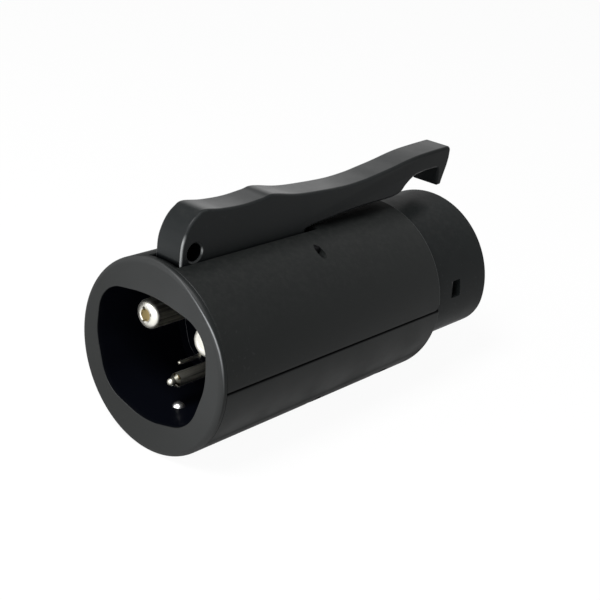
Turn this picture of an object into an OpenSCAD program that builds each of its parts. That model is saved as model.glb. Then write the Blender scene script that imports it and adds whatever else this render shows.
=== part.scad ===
// Charging adapter: a pinned socket at one end, a plug nose at the other, a latch lever on top.
// Millimetres. The origin is on the nose's axis at the body's front face.
// +X points out of the nose, +Z towards the lever. The socket opens towards -X.
// Left and right are as seen when looking into the socket: left is +Y.

/* [Body] */
// Diameter of the round body
body_d = 47.6; // [46.6:0.2:52]
// Length of the body, rim included
body_len = 81.5; // [79:0.5:92]
// Wall of the two body shells
shell_wall = 2.4; // [2:0.1:2.8]
// Wall of the body at its front end
front_wall = 2.4; // [1.6:0.1:2.6]
// Depth of the groove that shows where the shells meet
seam_groove = 0.25; // [0.2:0.05:0.6]
// Rounding of the shells' front edge
front_round = 0.5; // [0.3:0.1:1]

/* [Socket] */
// Thickness of the rim in front of the shells
rim_t = 1.6; // [1.2:0.1:2.2]
// Rounding of the rim's outer edge
rim_round = 1.4; // [0.6:0.1:1.6]
// Width of the rim beside the cavity's two side corners
rim_side = 5.4; // [4.8:0.1:6.8]
// Width of the rim above the middle of the cavity's roof
rim_top = 7.9; // [7.4:0.1:9.3]
// Width of the rim below the middle corner of the cavity's floor
rim_bottom = 7.5; // [6.8:0.1:8.8]
// Depth of the cavity, from the rim to the raised face of the back plate
cavity_depth = 24.9; // [22:0.1:26]
// Height of the raised face on the back plate
platform_h = 1; // [0.5:0.1:1.5]
// Distance of the raised face from the cavity's wall
platform_inset = 3.4; // [2.5:0.1:4]
// Thickness of the back plate behind the raised face
back_plate_t = 4; // [3.5:0.1:5]

/* [Socket pins] */
// Diameter of a power pin
power_pin_d = 7.4; // [6:0.1:8]
// Distance of each power pin from the middle plane
power_pin_y = 9.7; // [8.6:0.1:10]
// Height of the power pins above the axis
power_pin_z = 5.5; // [4.5:0.1:6.5]
// Depth of the power pins' tips below the rim
power_tip_depth = 7.2; // [6:0.1:10]
// Diameter of the ground pin
ground_pin_d = 3.5; // [3:0.1:4]
// Diameter of the ground pin's slim nose
ground_nose_d = 1.95; // [1.5:0.05:2.5]
// Depth of the ground pin below the axis
ground_pin_z = 8.35; // [8:0.05:8.8]
// Depth of the ground pin's tip below the rim
ground_tip_depth = 6.8; // [6:0.1:10]
// Diameter of a signal pin
signal_pin_d = 1.1; // [1:0.1:1.8]
// Distance of each signal pin from the middle plane
signal_pin_y = 8.2; // [7.6:0.1:8.8]
// Depth of the signal pins below the axis
signal_pin_z = 9.6; // [9:0.1:10.2]
// Depth of the signal pins' tips below the rim
signal_tip_depth = 17.8; // [15:0.1:19]

/* [Nose] */
// How far the body stands out past the nose
nose_step = 1.9; // [1.7:0.1:2.3]
// Length of the nose in front of the body
nose_len = 24.2; // [23:0.1:30]
// Wall of the nose shell
nose_wall = 2.2; // [1.8:0.1:2.5]
// Radius of the nose's two lower corners
nose_corner_r = 12.6; // [11.5:0.1:13.5]
// Radius of the nose's flattened lower side
nose_keel_r = 26.5; // [25:0.1:30]
// How far the nose's lower side is flattened in from the full circle
nose_flat = 4.7; // [3.9:0.1:5.1]
// How far the contact face lies behind the nose's end
face_recess = 0.8; // [0.4:0.1:2]
// Length of the side window along the nose
window_len = 3.9; // [3:0.1:5]
// Height of the side window
window_h = 4.6; // [3:0.1:5]
// Distance of the window from the body's front face
window_x = 7.9; // [6:0.1:9]
// Height of the window's middle above the axis
window_z = 3.2; // [2:0.1:4]

/* [Contacts] */
// Diameter of the pin that a power contact takes
power_mate_d = 3.6; // [3.2:0.1:3.8]
// Distance of each power contact from the middle plane
power_contact_y = 7.85; // [7.4:0.05:8.2]
// Height of the power contacts above the axis
power_contact_z = 6.8; // [6.2:0.1:7.2]
// Diameter of the pin that the ground contact takes
ground_mate_d = 2.8; // [2.4:0.1:3]
// Distance of the ground contact from the nose's lower side
ground_contact_rise = 6.6; // [6.4:0.1:7.2]
// Diameter of the pin that a signal contact takes
signal_mate_d = 1.5; // [1.2:0.1:1.8]
// Distance of each signal contact from the middle plane
signal_contact_y = 10.65; // [10.2:0.05:10.8]
// Depth of the signal contacts below the axis
signal_contact_z = 5.6; // [5.2:0.1:6]
// How far each contact's mouth lies behind the contact face
contact_recess = 3; // [2:0.1:5]
// Depth of each contact's bore
contact_bore_len = 15; // [12:0.5:18]

/* [Latch lever] */
// Width of the lever
lever_w = 8.4; // [7.4:0.1:9]
// Distance of the tail's end face from the rim
tail_setback = 4; // [3.8:0.1:5]
// Height of the tail's top above the body
tail_rise = 11.4; // [10.5:0.1:13]
// Height of the dip behind the tail above the body
dip_rise = 10.35; // [9.5:0.05:12]
// Height of the thumb hump above the body
hump_rise = 11.2; // [10.5:0.1:13]
// Height of the waist in front of the hump above the body
waist_rise = 8.7; // [8:0.1:10]
// Height of the hook's back above the body
hook_rise = 12.8; // [12:0.1:14]
// How far the hook reaches in front of the body
hook_reach = 24; // [22.5:0.1:24.2]
// Thickness of the hook at its root
hook_t = 5.3; // [4.5:0.1:6]
// Thickness of the arm above the hook's gap
arm_t = 5.3; // [4.5:0.1:6]
// Gap between the hook's tip and the nose
hook_gap = 4; // [3.8:0.1:4.8]
// Gap between the lever and the body at the front edge
front_gap = 1.9; // [1:0.1:2.5]
// Diameter of the padlock hole
padlock_d = 4.2; // [3:0.1:4.4]
// Distance of the pivot from the rim
pivot_setback = 43.6; // [43.1:0.1:44.1]
// Depth of the pivot below the body's top
pivot_drop = 3.1; // [2.95:0.05:3.2]
// Diameter of the pivot pin
pivot_d = 2.3; // [1.9:0.1:2.4]
// Most that the lever turns when its tail is pressed, in degrees
press_angle = 4.5; // [3:0.1:4.6]

/* [Latch switch] */
// Distance of the switch's plunger from the pivot
plunger_reach = 7.6; // [7.4:0.1:7.8]
// Height of the switch's case
switch_h = 4.6; // [4.2:0.1:4.8]
// Length of the switch's case along the body
switch_len = 6; // [5:0.1:6]
// Width of the switch's case
switch_w = 8; // [6:0.1:8.4]
// Thickness of the circuit board
board_t = 1.6; // [1:0.1:1.6]
// Width of the circuit board
board_w = 25; // [24:0.5:26]

/* [Detent] */
// Diameter of the detent ball
ball_d = 3.4; // [3:0.1:3.6]
// How far the ball stands out of the cavity's floor
ball_proud = 1; // [0.8:0.05:1.1]
// Distance of the ball from the rim
ball_x = 10.8; // [8:0.1:12]

/* [Fasteners] */
// Thread diameter of the body screws
screw_d = 2.5; // [2.2:0.1:2.6]
// Distance of the body screws from the middle plane
screw_y = 15.8; // [15.8:0.1:16.4]
// Thread diameter of the small screws
small_screw_d = 1.8; // [1.6:0.1:2]

/* [Hidden] */

black = [0.07, 0.075, 0.075];
dark_grey = [0.14, 0.14, 0.15];
silver = [0.78, 0.78, 0.74];
copper = [0.72, 0.42, 0.28];
brass = [0.75, 0.62, 0.32];
steel = [0.55, 0.56, 0.58];
rubber_black = [0.05, 0.05, 0.05];
board_green = [0.08, 0.30, 0.16];
wire_orange = [0.75, 0.33, 0.08];
button_red = [0.75, 0.12, 0.1];
resistor_tan = [0.7, 0.62, 0.45];
block_blue = [0.1, 0.25, 0.5];

// Facets of a full circle, from the smallest to the body
fn_tiny = 20;
fn_small = 32;
fn_pin = 40;
fn_body = 128;
// A cut runs this far past the face that it opens
past = 1;
// Clearance of pieces that slide together when assembled
slip = 0.1;

body_r = body_d / 2;
inner_r = body_r - shell_wall;
insert_r = inner_r - slip;
rear_x = -body_len;
shell_x = rear_x + rim_t;
side = [1, -1];

// Cavity section: fall of the roof, lean of the sides, foot of the floor, corner radii from roof to floor
roof_fall = 3;
side_lean = 1;
foot_in = 4.2;
foot_rise = 3.7;
cavity_round = [40, 8.5, 16, 10, 20];
cavity_half_w = body_r - rim_side;
cavity_top = body_r - rim_top;
cavity_bottom = body_r - rim_bottom;

// Back plate and what stands behind it
platform_x = rear_x + cavity_depth;
plate_x = platform_x + platform_h;
plate_end_x = plate_x + back_plate_t;
ground_nose_len = 1.6;
ground_cone_len = 0.9;
seal_t = 1.2;
seal_w = 0.9;
collar_t = 1.5;
collar_w = 1.05;
retainer_t = 2.5;
retainer_r = inner_r - 2.4;
retainer_end_x = plate_end_x + retainer_t;
retainer_screw_r = 1.25;
retainer_hole_depth = 2;
retainer_screw_low_y = retainer_r - 4.5;
retainer_screw_spots = [[0, retainer_r - 8], [retainer_screw_low_y, -4.5], [-retainer_screw_low_y, -4.5]];
stop_rib_t = 1.5;
stop_rib_r = retainer_r - 1;
stop_rib_top = 6;

// Pins: a shoulder in the back plate, and tails behind the collars
pin_shoulder = 0.2;
power_tail_r = 2.5;
ground_tail_r = 1.6;
signal_tail_r = 0.6;
busbar_block = 4.5;
busbar_rear_x = retainer_end_x + 1.6;
signal_tail_x = retainer_end_x + 5.1;

// Nose section: a round top, two lower corners and a flatter keel, all tangent
nose_r = body_r - nose_step;
nose_drop = nose_r - nose_flat;
ground_contact_z = nose_drop - ground_contact_rise;
keel_c = nose_keel_r - nose_drop;
corner_reach = nose_r - nose_corner_r;
corner_gap = nose_keel_r - nose_corner_r;
corner_angle = asin((corner_gap ^ 2 - corner_reach ^ 2 - keel_c ^ 2) / (2 * corner_reach * keel_c));
corner_y = corner_reach * cos(corner_angle);
corner_z = -corner_reach * sin(corner_angle);
keel_angle = atan2(keel_c - corner_z, corner_y);
nose_fit = 0.15;
gasket_t = 1;
gasket_x = -front_wall - gasket_t;
nose_flange_t = 2.6;
nose_flange_x = gasket_x - nose_flange_t;
flange_groove_wall = 1.1;
flange_groove_r = body_r - flange_groove_wall;
nose_flange_r = flange_groove_r - slip;
carrier_disc_t = 2;
carrier_x = nose_flange_x - carrier_disc_t;
carrier_disc_r = inner_r - 0.4;
carrier_end_x = nose_len - face_recess;
nose_rib_t = 1.5;
nose_rib_r = carrier_disc_r - 1.8;
tab_drop = 0.6;
tab_len = 1.7;
tab_gap = 0.2;

// Contacts
contact_collar_t = 2;
contact_collar_w = 0.8;
contact_end_x = carrier_end_x - contact_recess;
contact_wall = 1.25;
signal_wall = 0.8;
mate_slip = 0.05;
mouth_gap = 0.6;
power_tail_front_r = 2;
ground_tail_front_r = 1.6;
signal_tail_front_r = 0.9;
busbar_front_x = -22.5;
signal_tail_front_x = -16;

// Busbars and leads
busbar_t = 2;
busbar_margin = 1;
power_block_h = 3.3;
ground_block_h = 2.4;
signal_lead_r = 1.1;
board_lead_r = 0.8;
// A lead runs straight for this far at each end, so that its flat end lies on what it meets
lead_start = 1;
// The bends of a signal lead begin this far beyond that
lead_bend = 5;
lead_gap = 0.2;
busbar_crank = 5;

// Latch: the slot, the pivot and the return spring
pivot_x = body_len - pivot_setback;
pivot_z = body_r - pivot_drop;
pivot_r = pivot_d / 2;
pivot_slip = 0.05;
slot_side_gap = 0.5;
slot_half_w = lever_w / 2 + slot_side_gap;
slot_wall = 1.2;
slot_x0 = shell_x + slot_wall;
slot_x1 = -pivot_x + 6.4;
tail_x = rear_x + tail_setback;
press_depth = (-pivot_x - tail_x) * sin(press_angle);
belly_drop = 1.6;
belly_z = body_r - belly_drop;
slot_floor_gap = 0.3;
slot_floor_z = belly_z - press_depth - slot_floor_gap;
boss_r = pivot_r + 1.3;
lug_half_len = 3.2;
lug_top_y = 9.5;
lug_below = 2.6;
lug_above = 0.4;
pin_inset = 1.1;
spring_x = -pivot_x - 24.1;
spring_r = 2.2;
spring_wire_r = 0.3;
spring_turns = 5;
pocket_gap = 0.4;
pocket_depth = 3;

// Lever outline
padlock_x = tail_x + 4.25;
padlock_z = body_r + 1.7;
padlock_r = padlock_d / 2;
padlock_chamfer = 0.5;
hook_tip_z = nose_r + hook_gap;
hook_tip_t = 1.6;
hook_top_z = body_r + hook_rise;
arm_under_z = hook_top_z - arm_t - 0.3;
hook_inner_x = hook_reach - hook_t;

// Switch and its board
plunger_x = -pivot_x - plunger_reach;
plunger_r = 0.9;
plunger_slip = 0.05;
plunger_travel = 0.7;
plunger_bore = 2.4;
finger_half_len = 1;
finger_w = 4;
finger_gap = 0.15;
finger_z = belly_z - 2.75;
plunger_top_z = finger_z - finger_gap;
switch_top_z = plunger_top_z - 0.8;
switch_z = switch_top_z - switch_h;
board_z = switch_z - board_t;
board_x0 = retainer_end_x + 1.9;
board_len = 23.2;
board_x1 = board_x0 + board_len;
post_r = 2.4;
post_y = board_w / 2 - 2;
post_spots = [board_x0 + 2.2, board_x1 - 3];
resistor_r = 1.1;
resistor_len = 6;
resistor_y = 3.2;
resistor_x = plunger_x + switch_len / 2 + 7.1;
block_len = 4.5;
block_w = 10;
block_h = 3.2;
board_screw_len = 4;
board_screw_head_r = 1.7;
board_screw_head_h = 1;

// Detent: ball, spring and plug in a bore under the cavity's floor
ball_r = ball_d / 2;
detent_x = rear_x + ball_x;
detent_slip = 0.05;
detent_bore_r = ball_r + detent_slip;
floor_z = -lowest(cavity_outline(0));
ball_z = floor_z + ball_proud - ball_r;
plug_t = 1;
plug_z = -insert_r + 0.15;
detent_wire_r = 0.15;
detent_spring_r = 1.25;
detent_turns = 4;
seat_r = ball_r - 0.1;
spring_rest = 0.03;

// Body screws
screw_r = screw_d / 2;
screw_head_r = screw_r + 0.95;
screw_head_h = 2;
head_well_r = screw_head_r + 0.15;
lower_boss_r = head_well_r + 1.2;
upper_boss_r = screw_r + 1.2;
screw_seat_z = -7;
screw_tip_z = 7;
screw_setback = 9.1;
front_screw_x = -13.2;
screw_spots = [retainer_end_x + screw_setback, front_screw_x];
seam_notch = 2;

// Points of an arc about c, from angle a0 to a1, in n steps
function arc(c, r, a0, a1, n) = [for (k = [0:n])
    let (a = a0 + (a1 - a0) * k / n)
    c + r * [cos(a), sin(a)]];

// Where the line through a along u meets the line through b along v
function crossing(a, u, b, v) =
    a + u * ((b[0] - a[0]) * v[1] - (b[1] - a[1]) * v[0]) / (u[0] * v[1] - u[1] * v[0]);

function unit(v) = v / norm(v);

// A convex outline, counterclockwise, with every edge moved inwards by d
function inset(points, d) = [for (k = [0:len(points) - 1])
    let (
        n = len(points),
        here = points[k],
        u = unit(here - points[(k + n - 1) % n]),
        v = unit(points[(k + 1) % n] - here)
    )
    crossing(here + d * [-u[1], u[0]], u, here + d * [-v[1], v[0]], v)];

// A convex outline, counterclockwise, with each corner rounded to its own radius
function rounded(points, radii, n) = [for (k = [0:len(points) - 1])
    let (
        count = len(points),
        here = points[k],
        u = unit(here - points[(k + count - 1) % count]),
        v = unit(points[(k + 1) % count] - here),
        turn = acos(u * v),
        c = here - u * radii[k] * tan(turn / 2) + radii[k] * [-u[1], u[0]],
        a0 = atan2(-u[0], u[1])
    )
    each arc(c, radii[k], a0, a0 + turn, n)];

// The cavity's section, moved inwards by d: a low roof, steep sides and a keeled floor
function cavity_outline(d) =
    let (
        half = cavity_half_w,
        right = [
            [0, -cavity_bottom], [half - foot_in, foot_rise - cavity_bottom],
            [half, 0], [half - side_lean, cavity_top - roof_fall], [0, cavity_top]
        ],
        corners = concat(right, [for (k = [3:-1:1]) [-right[k][0], right[k][1]]]),
        radii = concat([for (k = [4:-1:0]) cavity_round[k]], [for (k = [1:3]) cavity_round[k]])
    )
    rounded(inset(corners, d), [for (r = radii) max(r - d, 0.5)], 6);

function lowest(points) = max([for (p = points) -p[1]]);

// The nose's section, moved inwards by d
function nose_outline(d) = concat(
    arc([0, 0], nose_r - d, -corner_angle, 180 + corner_angle, 56),
    arc([-corner_y, corner_z], nose_corner_r - d, 180 + corner_angle, 180 + keel_angle, 8),
    arc([0, keel_c], nose_keel_r - d, 180 + keel_angle, 360 - keel_angle, 16),
    arc([corner_y, corner_z], nose_corner_r - d, 360 - keel_angle, 360 - corner_angle, 8)
);

// A smooth curve through the points, n steps between each two
function smooth_at(p, k, t) =
    let (
        a = p[max(k - 1, 0)],
        b = p[k],
        c = p[k + 1],
        d = p[min(k + 2, len(p) - 1)]
    )
    0.5 * (2 * b + (c - a) * t + (2 * a - 5 * b + 4 * c - d) * t * t + (3 * b - a - 3 * c + d) * t * t * t);

function smooth(p, n) = [for (k = [0:len(p) - 2]) for (j = [0:n - 1]) smooth_at(p, k, j / n), p[len(p) - 1]];

// Extrudes a section drawn in Y and Z along X
module along_x(x0, x1) {
    translate([x0, 0, 0])
        rotate([90, 0, 90])
            linear_extrude(x1 - x0)
                children();
}

// Extrudes a side view drawn in X and Z, centred on the middle plane
module across_y(w) {
    rotate([90, 0, 0])
        linear_extrude(w, center = true)
            children();
}

module rod_x(x0, x1, r, fn = fn_pin) {
    translate([x0, 0, 0])
        rotate([0, 90, 0])
            cylinder(r = r, h = x1 - x0, $fn = fn);
}

// A turned piece about the X axis, from points of radius and place along X
module turned_x(points, fn = fn_pin) {
    rotate([0, 90, 0])
        rotate_extrude($fn = fn)
            polygon(points);
}

module rod_y(y0, y1, r, fn = fn_pin) {
    translate([0, y0, 0])
        rotate([-90, 0, 0])
            cylinder(r = r, h = y1 - y0, $fn = fn);
}

module box(low, high) {
    translate(low)
        cube(high - low);
}

// A round tube swept along points, with flat ends square to its first and last step
module swept(points, r, sides = 8) {
    n = len(points);
    aim = [for (k = [0:n - 1]) unit(points[min(k + 1, n - 1)] - points[max(k - 1, 0)])];
    across = [for (k = [0:n - 1]) unit(cross(aim[k], abs(aim[k][1]) > 0.9 ? [1, 0, 0] : [0, 1, 0]))];
    ring = [for (k = [0:n - 1]) for (s = [0:sides - 1])
        let (a = 360 * s / sides)
        points[k] + r * (cos(a) * across[k] + sin(a) * cross(aim[k], across[k]))];
    walls = [for (k = [0:n - 2]) for (s = [0:sides - 1])
        let (here = k * sides, next = here + sides, t = (s + 1) % sides)
        [here + s, here + t, next + t, next + s]];
    caps = [[for (s = [sides - 1:-1:0]) s], [for (s = [0:sides - 1]) (n - 1) * sides + s]];
    polyhedron(points = ring, faces = concat(walls, caps));
}

// A coil spring standing on Z = 0
module coil(r, wire_r, height, turns) {
    steps = ceil(turns * 14);
    climb = height - 2 * wire_r;
    swept([for (k = [0:steps]) [
        r * cos(360 * turns * k / steps),
        r * sin(360 * turns * k / steps),
        wire_r + climb * k / steps
    ]], wire_r, 6);
}

// Puts a copy at each place along X, on both sides
module at_spots(spots, y) {
    for (x = spots)
        for (s = side)
            translate([x, s * y, 0])
                children();
}

// The body shells

module body_tube() {
    difference() {
        turned_x(concat(
            [[0, shell_x], [body_r, shell_x]],
            arc([body_r - front_round, -front_round], front_round, 0, 90, 6),
            [[0, 0]]
        ), fn_body);
        rod_x(shell_x - past, -front_wall, inner_r, fn_body);
        rod_x(nose_flange_x - slip, -front_wall, flange_groove_r, fn_body);
        along_x(-front_wall - past, past) polygon(nose_outline(-nose_fit));
    }
}

// Bevel of a shell's outer edges, so that a groove shows where the two meet; t is up or down
module seam_bevel(t) {
    for (s = side)
        along_x(shell_x - past, past)
            polygon([
                [s * (body_r - seam_groove - past), -t * past],
                [s * (body_r + past), t * (seam_groove + past)],
                [s * (body_r + past), -t * past]
            ]);
}

module stop_rib(x0, x1, r) {
    difference() {
        rod_x(x0, x1, inner_r + slip, fn_body);
        rod_x(x0 - past, x1 + past, r, fn_body);
    }
}

module shell_ribs() {
    stop_rib(retainer_end_x, retainer_end_x + stop_rib_t, stop_rib_r);
    stop_rib(carrier_x - nose_rib_t, carrier_x, nose_rib_r);
}

module upper_shell() {
    color(black)
    difference() {
        union() {
            intersection() {
                union() {
                    body_tube();
                    intersection() {
                        shell_ribs();
                        box([rear_x, -body_r, 0], [0, body_r, stop_rib_top]);
                    }
                }
                box([rear_x, -body_r - past, 0], [past, body_r + past, body_r + past]);
            }
            intersection() {
                union() {
                    at_spots(screw_spots, screw_y)
                        cylinder(r = upper_boss_r, h = body_r, $fn = fn_pin);
                    at_spots(post_spots, post_y)
                        translate([0, 0, switch_z])
                            cylinder(r = post_r, h = body_r - switch_z, $fn = fn_pin);
                    // Lugs beside the slot that hold the pivot pin
                    box([-pivot_x - lug_half_len, -lug_top_y, pivot_z - lug_below],
                        [-pivot_x + lug_half_len, lug_top_y, pivot_z + lug_above]);
                }
                rod_x(shell_x, -front_wall / 2, body_r - shell_wall / 2, fn_body);
            }
        }
        seam_bevel(1);
        box([slot_x0, -slot_half_w, pivot_z - lug_below - past], [slot_x1, slot_half_w, body_r + past]);
        translate([-pivot_x, 0, pivot_z]) rod_y(-body_r, body_r, pivot_r);
        at_spots(screw_spots, screw_y)
            translate([0, 0, -past]) cylinder(r = screw_r, h = screw_tip_z + past, $fn = fn_pin);
        at_spots(post_spots, post_y)
            translate([0, 0, switch_z - past])
                cylinder(r = small_screw_d / 2, h = board_screw_len - board_t + past, $fn = fn_small);
        // Notch at the front end of the joint, on each side
        for (s = side)
            translate([0, s * body_r, 0])
                across_y(2 * seam_groove)
                    polygon([
                        [-seam_notch, -past], [-seam_notch, 0], [0, seam_notch],
                        [past, seam_notch], [past, -past]
                    ]);
    }
}

module lower_shell() {
    color(black)
    difference() {
        union() {
            intersection() {
                union() {
                    body_tube();
                    shell_ribs();
                }
                box([rear_x, -body_r - past, -body_r - past], [past, body_r + past, 0]);
            }
            intersection() {
                at_spots(screw_spots, screw_y)
                    translate([0, 0, -body_r]) cylinder(r = lower_boss_r, h = body_r, $fn = fn_pin);
                rod_x(shell_x, -front_wall / 2, body_r - shell_wall / 2, fn_body);
            }
        }
        seam_bevel(-1);
        at_spots(screw_spots, screw_y)
            translate([0, 0, -body_r]) {
                cylinder(r = head_well_r, h = body_r + screw_seat_z, $fn = fn_pin);
                cylinder(r = screw_r + slip, h = body_r + past, $fn = fn_pin);
            }
    }
}

// Socket

module rim() {
    turned_x(concat(
        [[0, rear_x]],
        arc([body_r - rim_round, rear_x + rim_round], rim_round, -90, 0, 8),
        [[body_r, shell_x], [0, shell_x]]
    ), fn_body);
}

module pin_spots_bores(x0, x1, grow = 0) {
    for (s = side) translate([0, s * power_pin_y, power_pin_z]) rod_x(x0, x1, power_pin_d / 2 + grow);
    translate([0, 0, -ground_pin_z]) rod_x(x0, x1, ground_pin_d / 2 + grow);
    for (s = side) translate([0, s * signal_pin_y, -signal_pin_z]) rod_x(x0, x1, signal_pin_d / 2 + grow);
}

module socket_insert() {
    color(dark_grey)
    difference() {
        union() {
            rim();
            rod_x(shell_x, plate_end_x, insert_r, fn_body);
        }
        difference() {
            along_x(rear_x - past, plate_x) polygon(cavity_outline(0));
            along_x(platform_x, plate_x + past) polygon(cavity_outline(platform_inset));
        }
        box([slot_x0, -slot_half_w, slot_floor_z], [plate_end_x + past, slot_half_w, body_r + past]);
        pin_spots_bores(platform_x - past, plate_end_x + past, pin_shoulder);
        pin_spots_bores(plate_end_x - seal_t, plate_end_x + past, pin_shoulder + seal_w);
        for (p = retainer_screw_spots)
            translate([0, p[0], p[1]])
                rod_x(plate_end_x - retainer_hole_depth, plate_end_x + past, retainer_screw_r, fn_small);
        // Bore of the detent, closed in at the cavity's floor so that the ball stays in
        translate([detent_x, 0, 0]) {
            translate([0, 0, -body_r]) cylinder(r = detent_bore_r, h = body_r + ball_z, $fn = fn_pin);
            translate([0, 0, ball_z])
                cylinder(r1 = detent_bore_r, r2 = seat_r, h = floor_z - ball_z, $fn = fn_pin);
            translate([0, 0, floor_z - 0.01]) cylinder(r = seat_r, h = past, $fn = fn_pin);
        }
    }
}

module pin_retainer() {
    color(dark_grey)
    difference() {
        rod_x(plate_end_x, retainer_end_x, retainer_r, fn_body);
        pin_spots_bores(plate_end_x - past, plate_end_x + collar_t, pin_shoulder + collar_w);
        for (s = side)
            translate([0, s * power_pin_y, power_pin_z])
                rod_x(plate_end_x, retainer_end_x + past, power_tail_r);
        translate([0, 0, -ground_pin_z]) rod_x(plate_end_x, retainer_end_x + past, ground_tail_r);
        for (s = side)
            translate([0, s * signal_pin_y, -signal_pin_z])
                rod_x(plate_end_x, retainer_end_x + past, signal_tail_r);
        for (p = retainer_screw_spots)
            translate([0, p[0], p[1]])
                rod_x(plate_end_x - past, retainer_end_x + past, retainer_screw_r, fn_small);
    }
}

module retainer_screws() {
    thread_len = retainer_hole_depth - slip;
    head_r = retainer_screw_r + 0.95;
    head_h = 1.4;
    color(steel)
    for (p = retainer_screw_spots)
        translate([0, p[0], p[1]])
            turned_x([
                [0, plate_end_x - thread_len], [retainer_screw_r, plate_end_x - thread_len],
                [retainer_screw_r, retainer_end_x], [head_r, retainer_end_x],
                [head_r, retainer_end_x + 0.57 * head_h], [0.73 * head_r, retainer_end_x + head_h],
                [0.32 * head_r, retainer_end_x + head_h], [0.32 * head_r, retainer_end_x + head_h / 2],
                [0, retainer_end_x + head_h / 2]
            ], fn_small);
}

module seal_ring(pin_r) {
    r = pin_r + pin_shoulder;
    turned_x([
        [r, plate_end_x - seal_t], [r + seal_w, plate_end_x - seal_t],
        [r + seal_w, plate_end_x], [r, plate_end_x]
    ]);
}

module pin_seals() {
    color(rubber_black) {
        for (s = side) translate([0, s * power_pin_y, power_pin_z]) seal_ring(power_pin_d / 2);
        translate([0, 0, -ground_pin_z]) seal_ring(ground_pin_d / 2);
        for (s = side) translate([0, s * signal_pin_y, -signal_pin_z]) seal_ring(signal_pin_d / 2);
    }
}

// A turned socket pin: its tip, its shaft, the shoulder in the back plate, the collar behind it and the tail
module socket_pin(tip, r, tail_r, end_x) {
    shoulder_r = r + pin_shoulder;
    collar_r = shoulder_r + collar_w;
    turned_x(concat(tip, [
        [r, platform_x], [shoulder_r, platform_x], [shoulder_r, plate_end_x],
        [collar_r, plate_end_x], [collar_r, plate_end_x + collar_t],
        [tail_r, plate_end_x + collar_t], [tail_r, end_x], [0, end_x]
    ]));
}

module power_pin(s) {
    r = power_pin_d / 2;
    x = rear_x + power_tip_depth;
    round_r = 1.5;
    color(silver)
    translate([0, s * power_pin_y, power_pin_z])
        socket_pin(concat([[0, x]], arc([r - round_r, x + round_r], round_r, -90, 0, 8)),
            r, power_tail_r, busbar_rear_x + busbar_block);
}

module power_pin_left() { power_pin(1); }

module power_pin_right() { power_pin(-1); }

module ground_pin() {
    r = ground_pin_d / 2;
    nose = ground_nose_d / 2;
    x = rear_x + ground_tip_depth;
    color(silver)
    translate([0, 0, -ground_pin_z])
        socket_pin(concat(
            [[0, x]],
            arc([nose - 0.8, x + 0.8], 0.8, -90, 0, 5),
            [[nose, x + ground_nose_len], [r, x + ground_nose_len + ground_cone_len]]
        ), r, ground_tail_r, busbar_rear_x + busbar_block);
}

module signal_pin(s) {
    r = signal_pin_d / 2;
    x = rear_x + signal_tip_depth;
    color(silver)
    translate([0, s * signal_pin_y, -signal_pin_z])
        socket_pin(arc([0, x + r], r, -90, 0, 6), r, signal_tail_r, signal_tail_x);
}

module signal_pin_left() { signal_pin(1); }

module signal_pin_right() { signal_pin(-1); }

// Nose

module window_cut(s, y0, y1) {
    box([window_x, min(s * y0, s * y1), window_z - window_h / 2],
        [window_x + window_len, max(s * y0, s * y1), window_z + window_h / 2]);
}

module nose_shell() {
    color(black)
    difference() {
        union() {
            along_x(nose_flange_x, nose_len) polygon(nose_outline(0));
            rod_x(nose_flange_x, gasket_x, nose_flange_r, fn_body);
        }
        along_x(nose_flange_x - past, nose_len + past) polygon(nose_outline(nose_wall));
        for (s = side) window_cut(s, nose_r - nose_wall - past, nose_r + past);
    }
}

module nose_seal() {
    color(rubber_black)
    difference() {
        rod_x(gasket_x, -front_wall, nose_flange_r, fn_body);
        along_x(gasket_x - past, past) polygon(nose_outline(0));
    }
}

module contact_spots(which) {
    if (which == "power")
        for (s = side) translate([0, s * power_contact_y, power_contact_z]) children();
    if (which == "ground")
        translate([0, 0, -ground_contact_z]) children();
    if (which == "signal")
        for (s = side) translate([0, s * signal_contact_y, -signal_contact_z]) children();
}

// One stepped hole of the carrier: the seat of a contact and a narrower mouth
module contact_hole(mate_d, wall) {
    rod_x(carrier_x - past, contact_end_x, mate_d / 2 + mate_slip + wall);
    rod_x(contact_end_x - past, carrier_end_x + past, mate_d / 2 + mouth_gap);
}

module contact_carrier() {
    tab_y = nose_r - tab_drop;
    tab_root = tab_y - nose_wall - 2;
    tab_h = window_h - 2 * tab_gap;
    color(dark_grey)
    difference() {
        union() {
            along_x(carrier_x, carrier_end_x) polygon(nose_outline(nose_wall + slip));
            rod_x(carrier_x, nose_flange_x, carrier_disc_r, fn_body);
            // Snap tabs that stand in the nose's side windows
            for (s = side)
                box([window_x + tab_gap, min(s * tab_y, s * tab_root), window_z - tab_h / 2],
                    [window_x + tab_len, max(s * tab_y, s * tab_root), window_z + tab_h / 2]);
        }
        contact_spots("power") contact_hole(power_mate_d, contact_wall);
        contact_spots("ground") contact_hole(ground_mate_d, contact_wall);
        contact_spots("signal") contact_hole(signal_mate_d, signal_wall);
    }
}

// A turned female contact: sleeve with a blind bore, collar behind the carrier and tail
module female_contact(mate_d, wall, tail_r, end_x) {
    bore = mate_d / 2 + mate_slip;
    outer = bore + wall;
    turned_x([
        [0, end_x], [tail_r, end_x], [tail_r, carrier_x - contact_collar_t],
        [outer + contact_collar_w, carrier_x - contact_collar_t], [outer + contact_collar_w, carrier_x],
        [outer, carrier_x], [outer, contact_end_x], [bore, contact_end_x],
        [bore, contact_end_x - contact_bore_len], [0, contact_end_x - contact_bore_len - bore / 2]
    ]);
}

module power_contact(s) {
    color(silver)
    translate([0, s * power_contact_y, power_contact_z])
        female_contact(power_mate_d, contact_wall, power_tail_front_r, busbar_front_x);
}

module power_contact_left() { power_contact(1); }

module power_contact_right() { power_contact(-1); }

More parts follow.
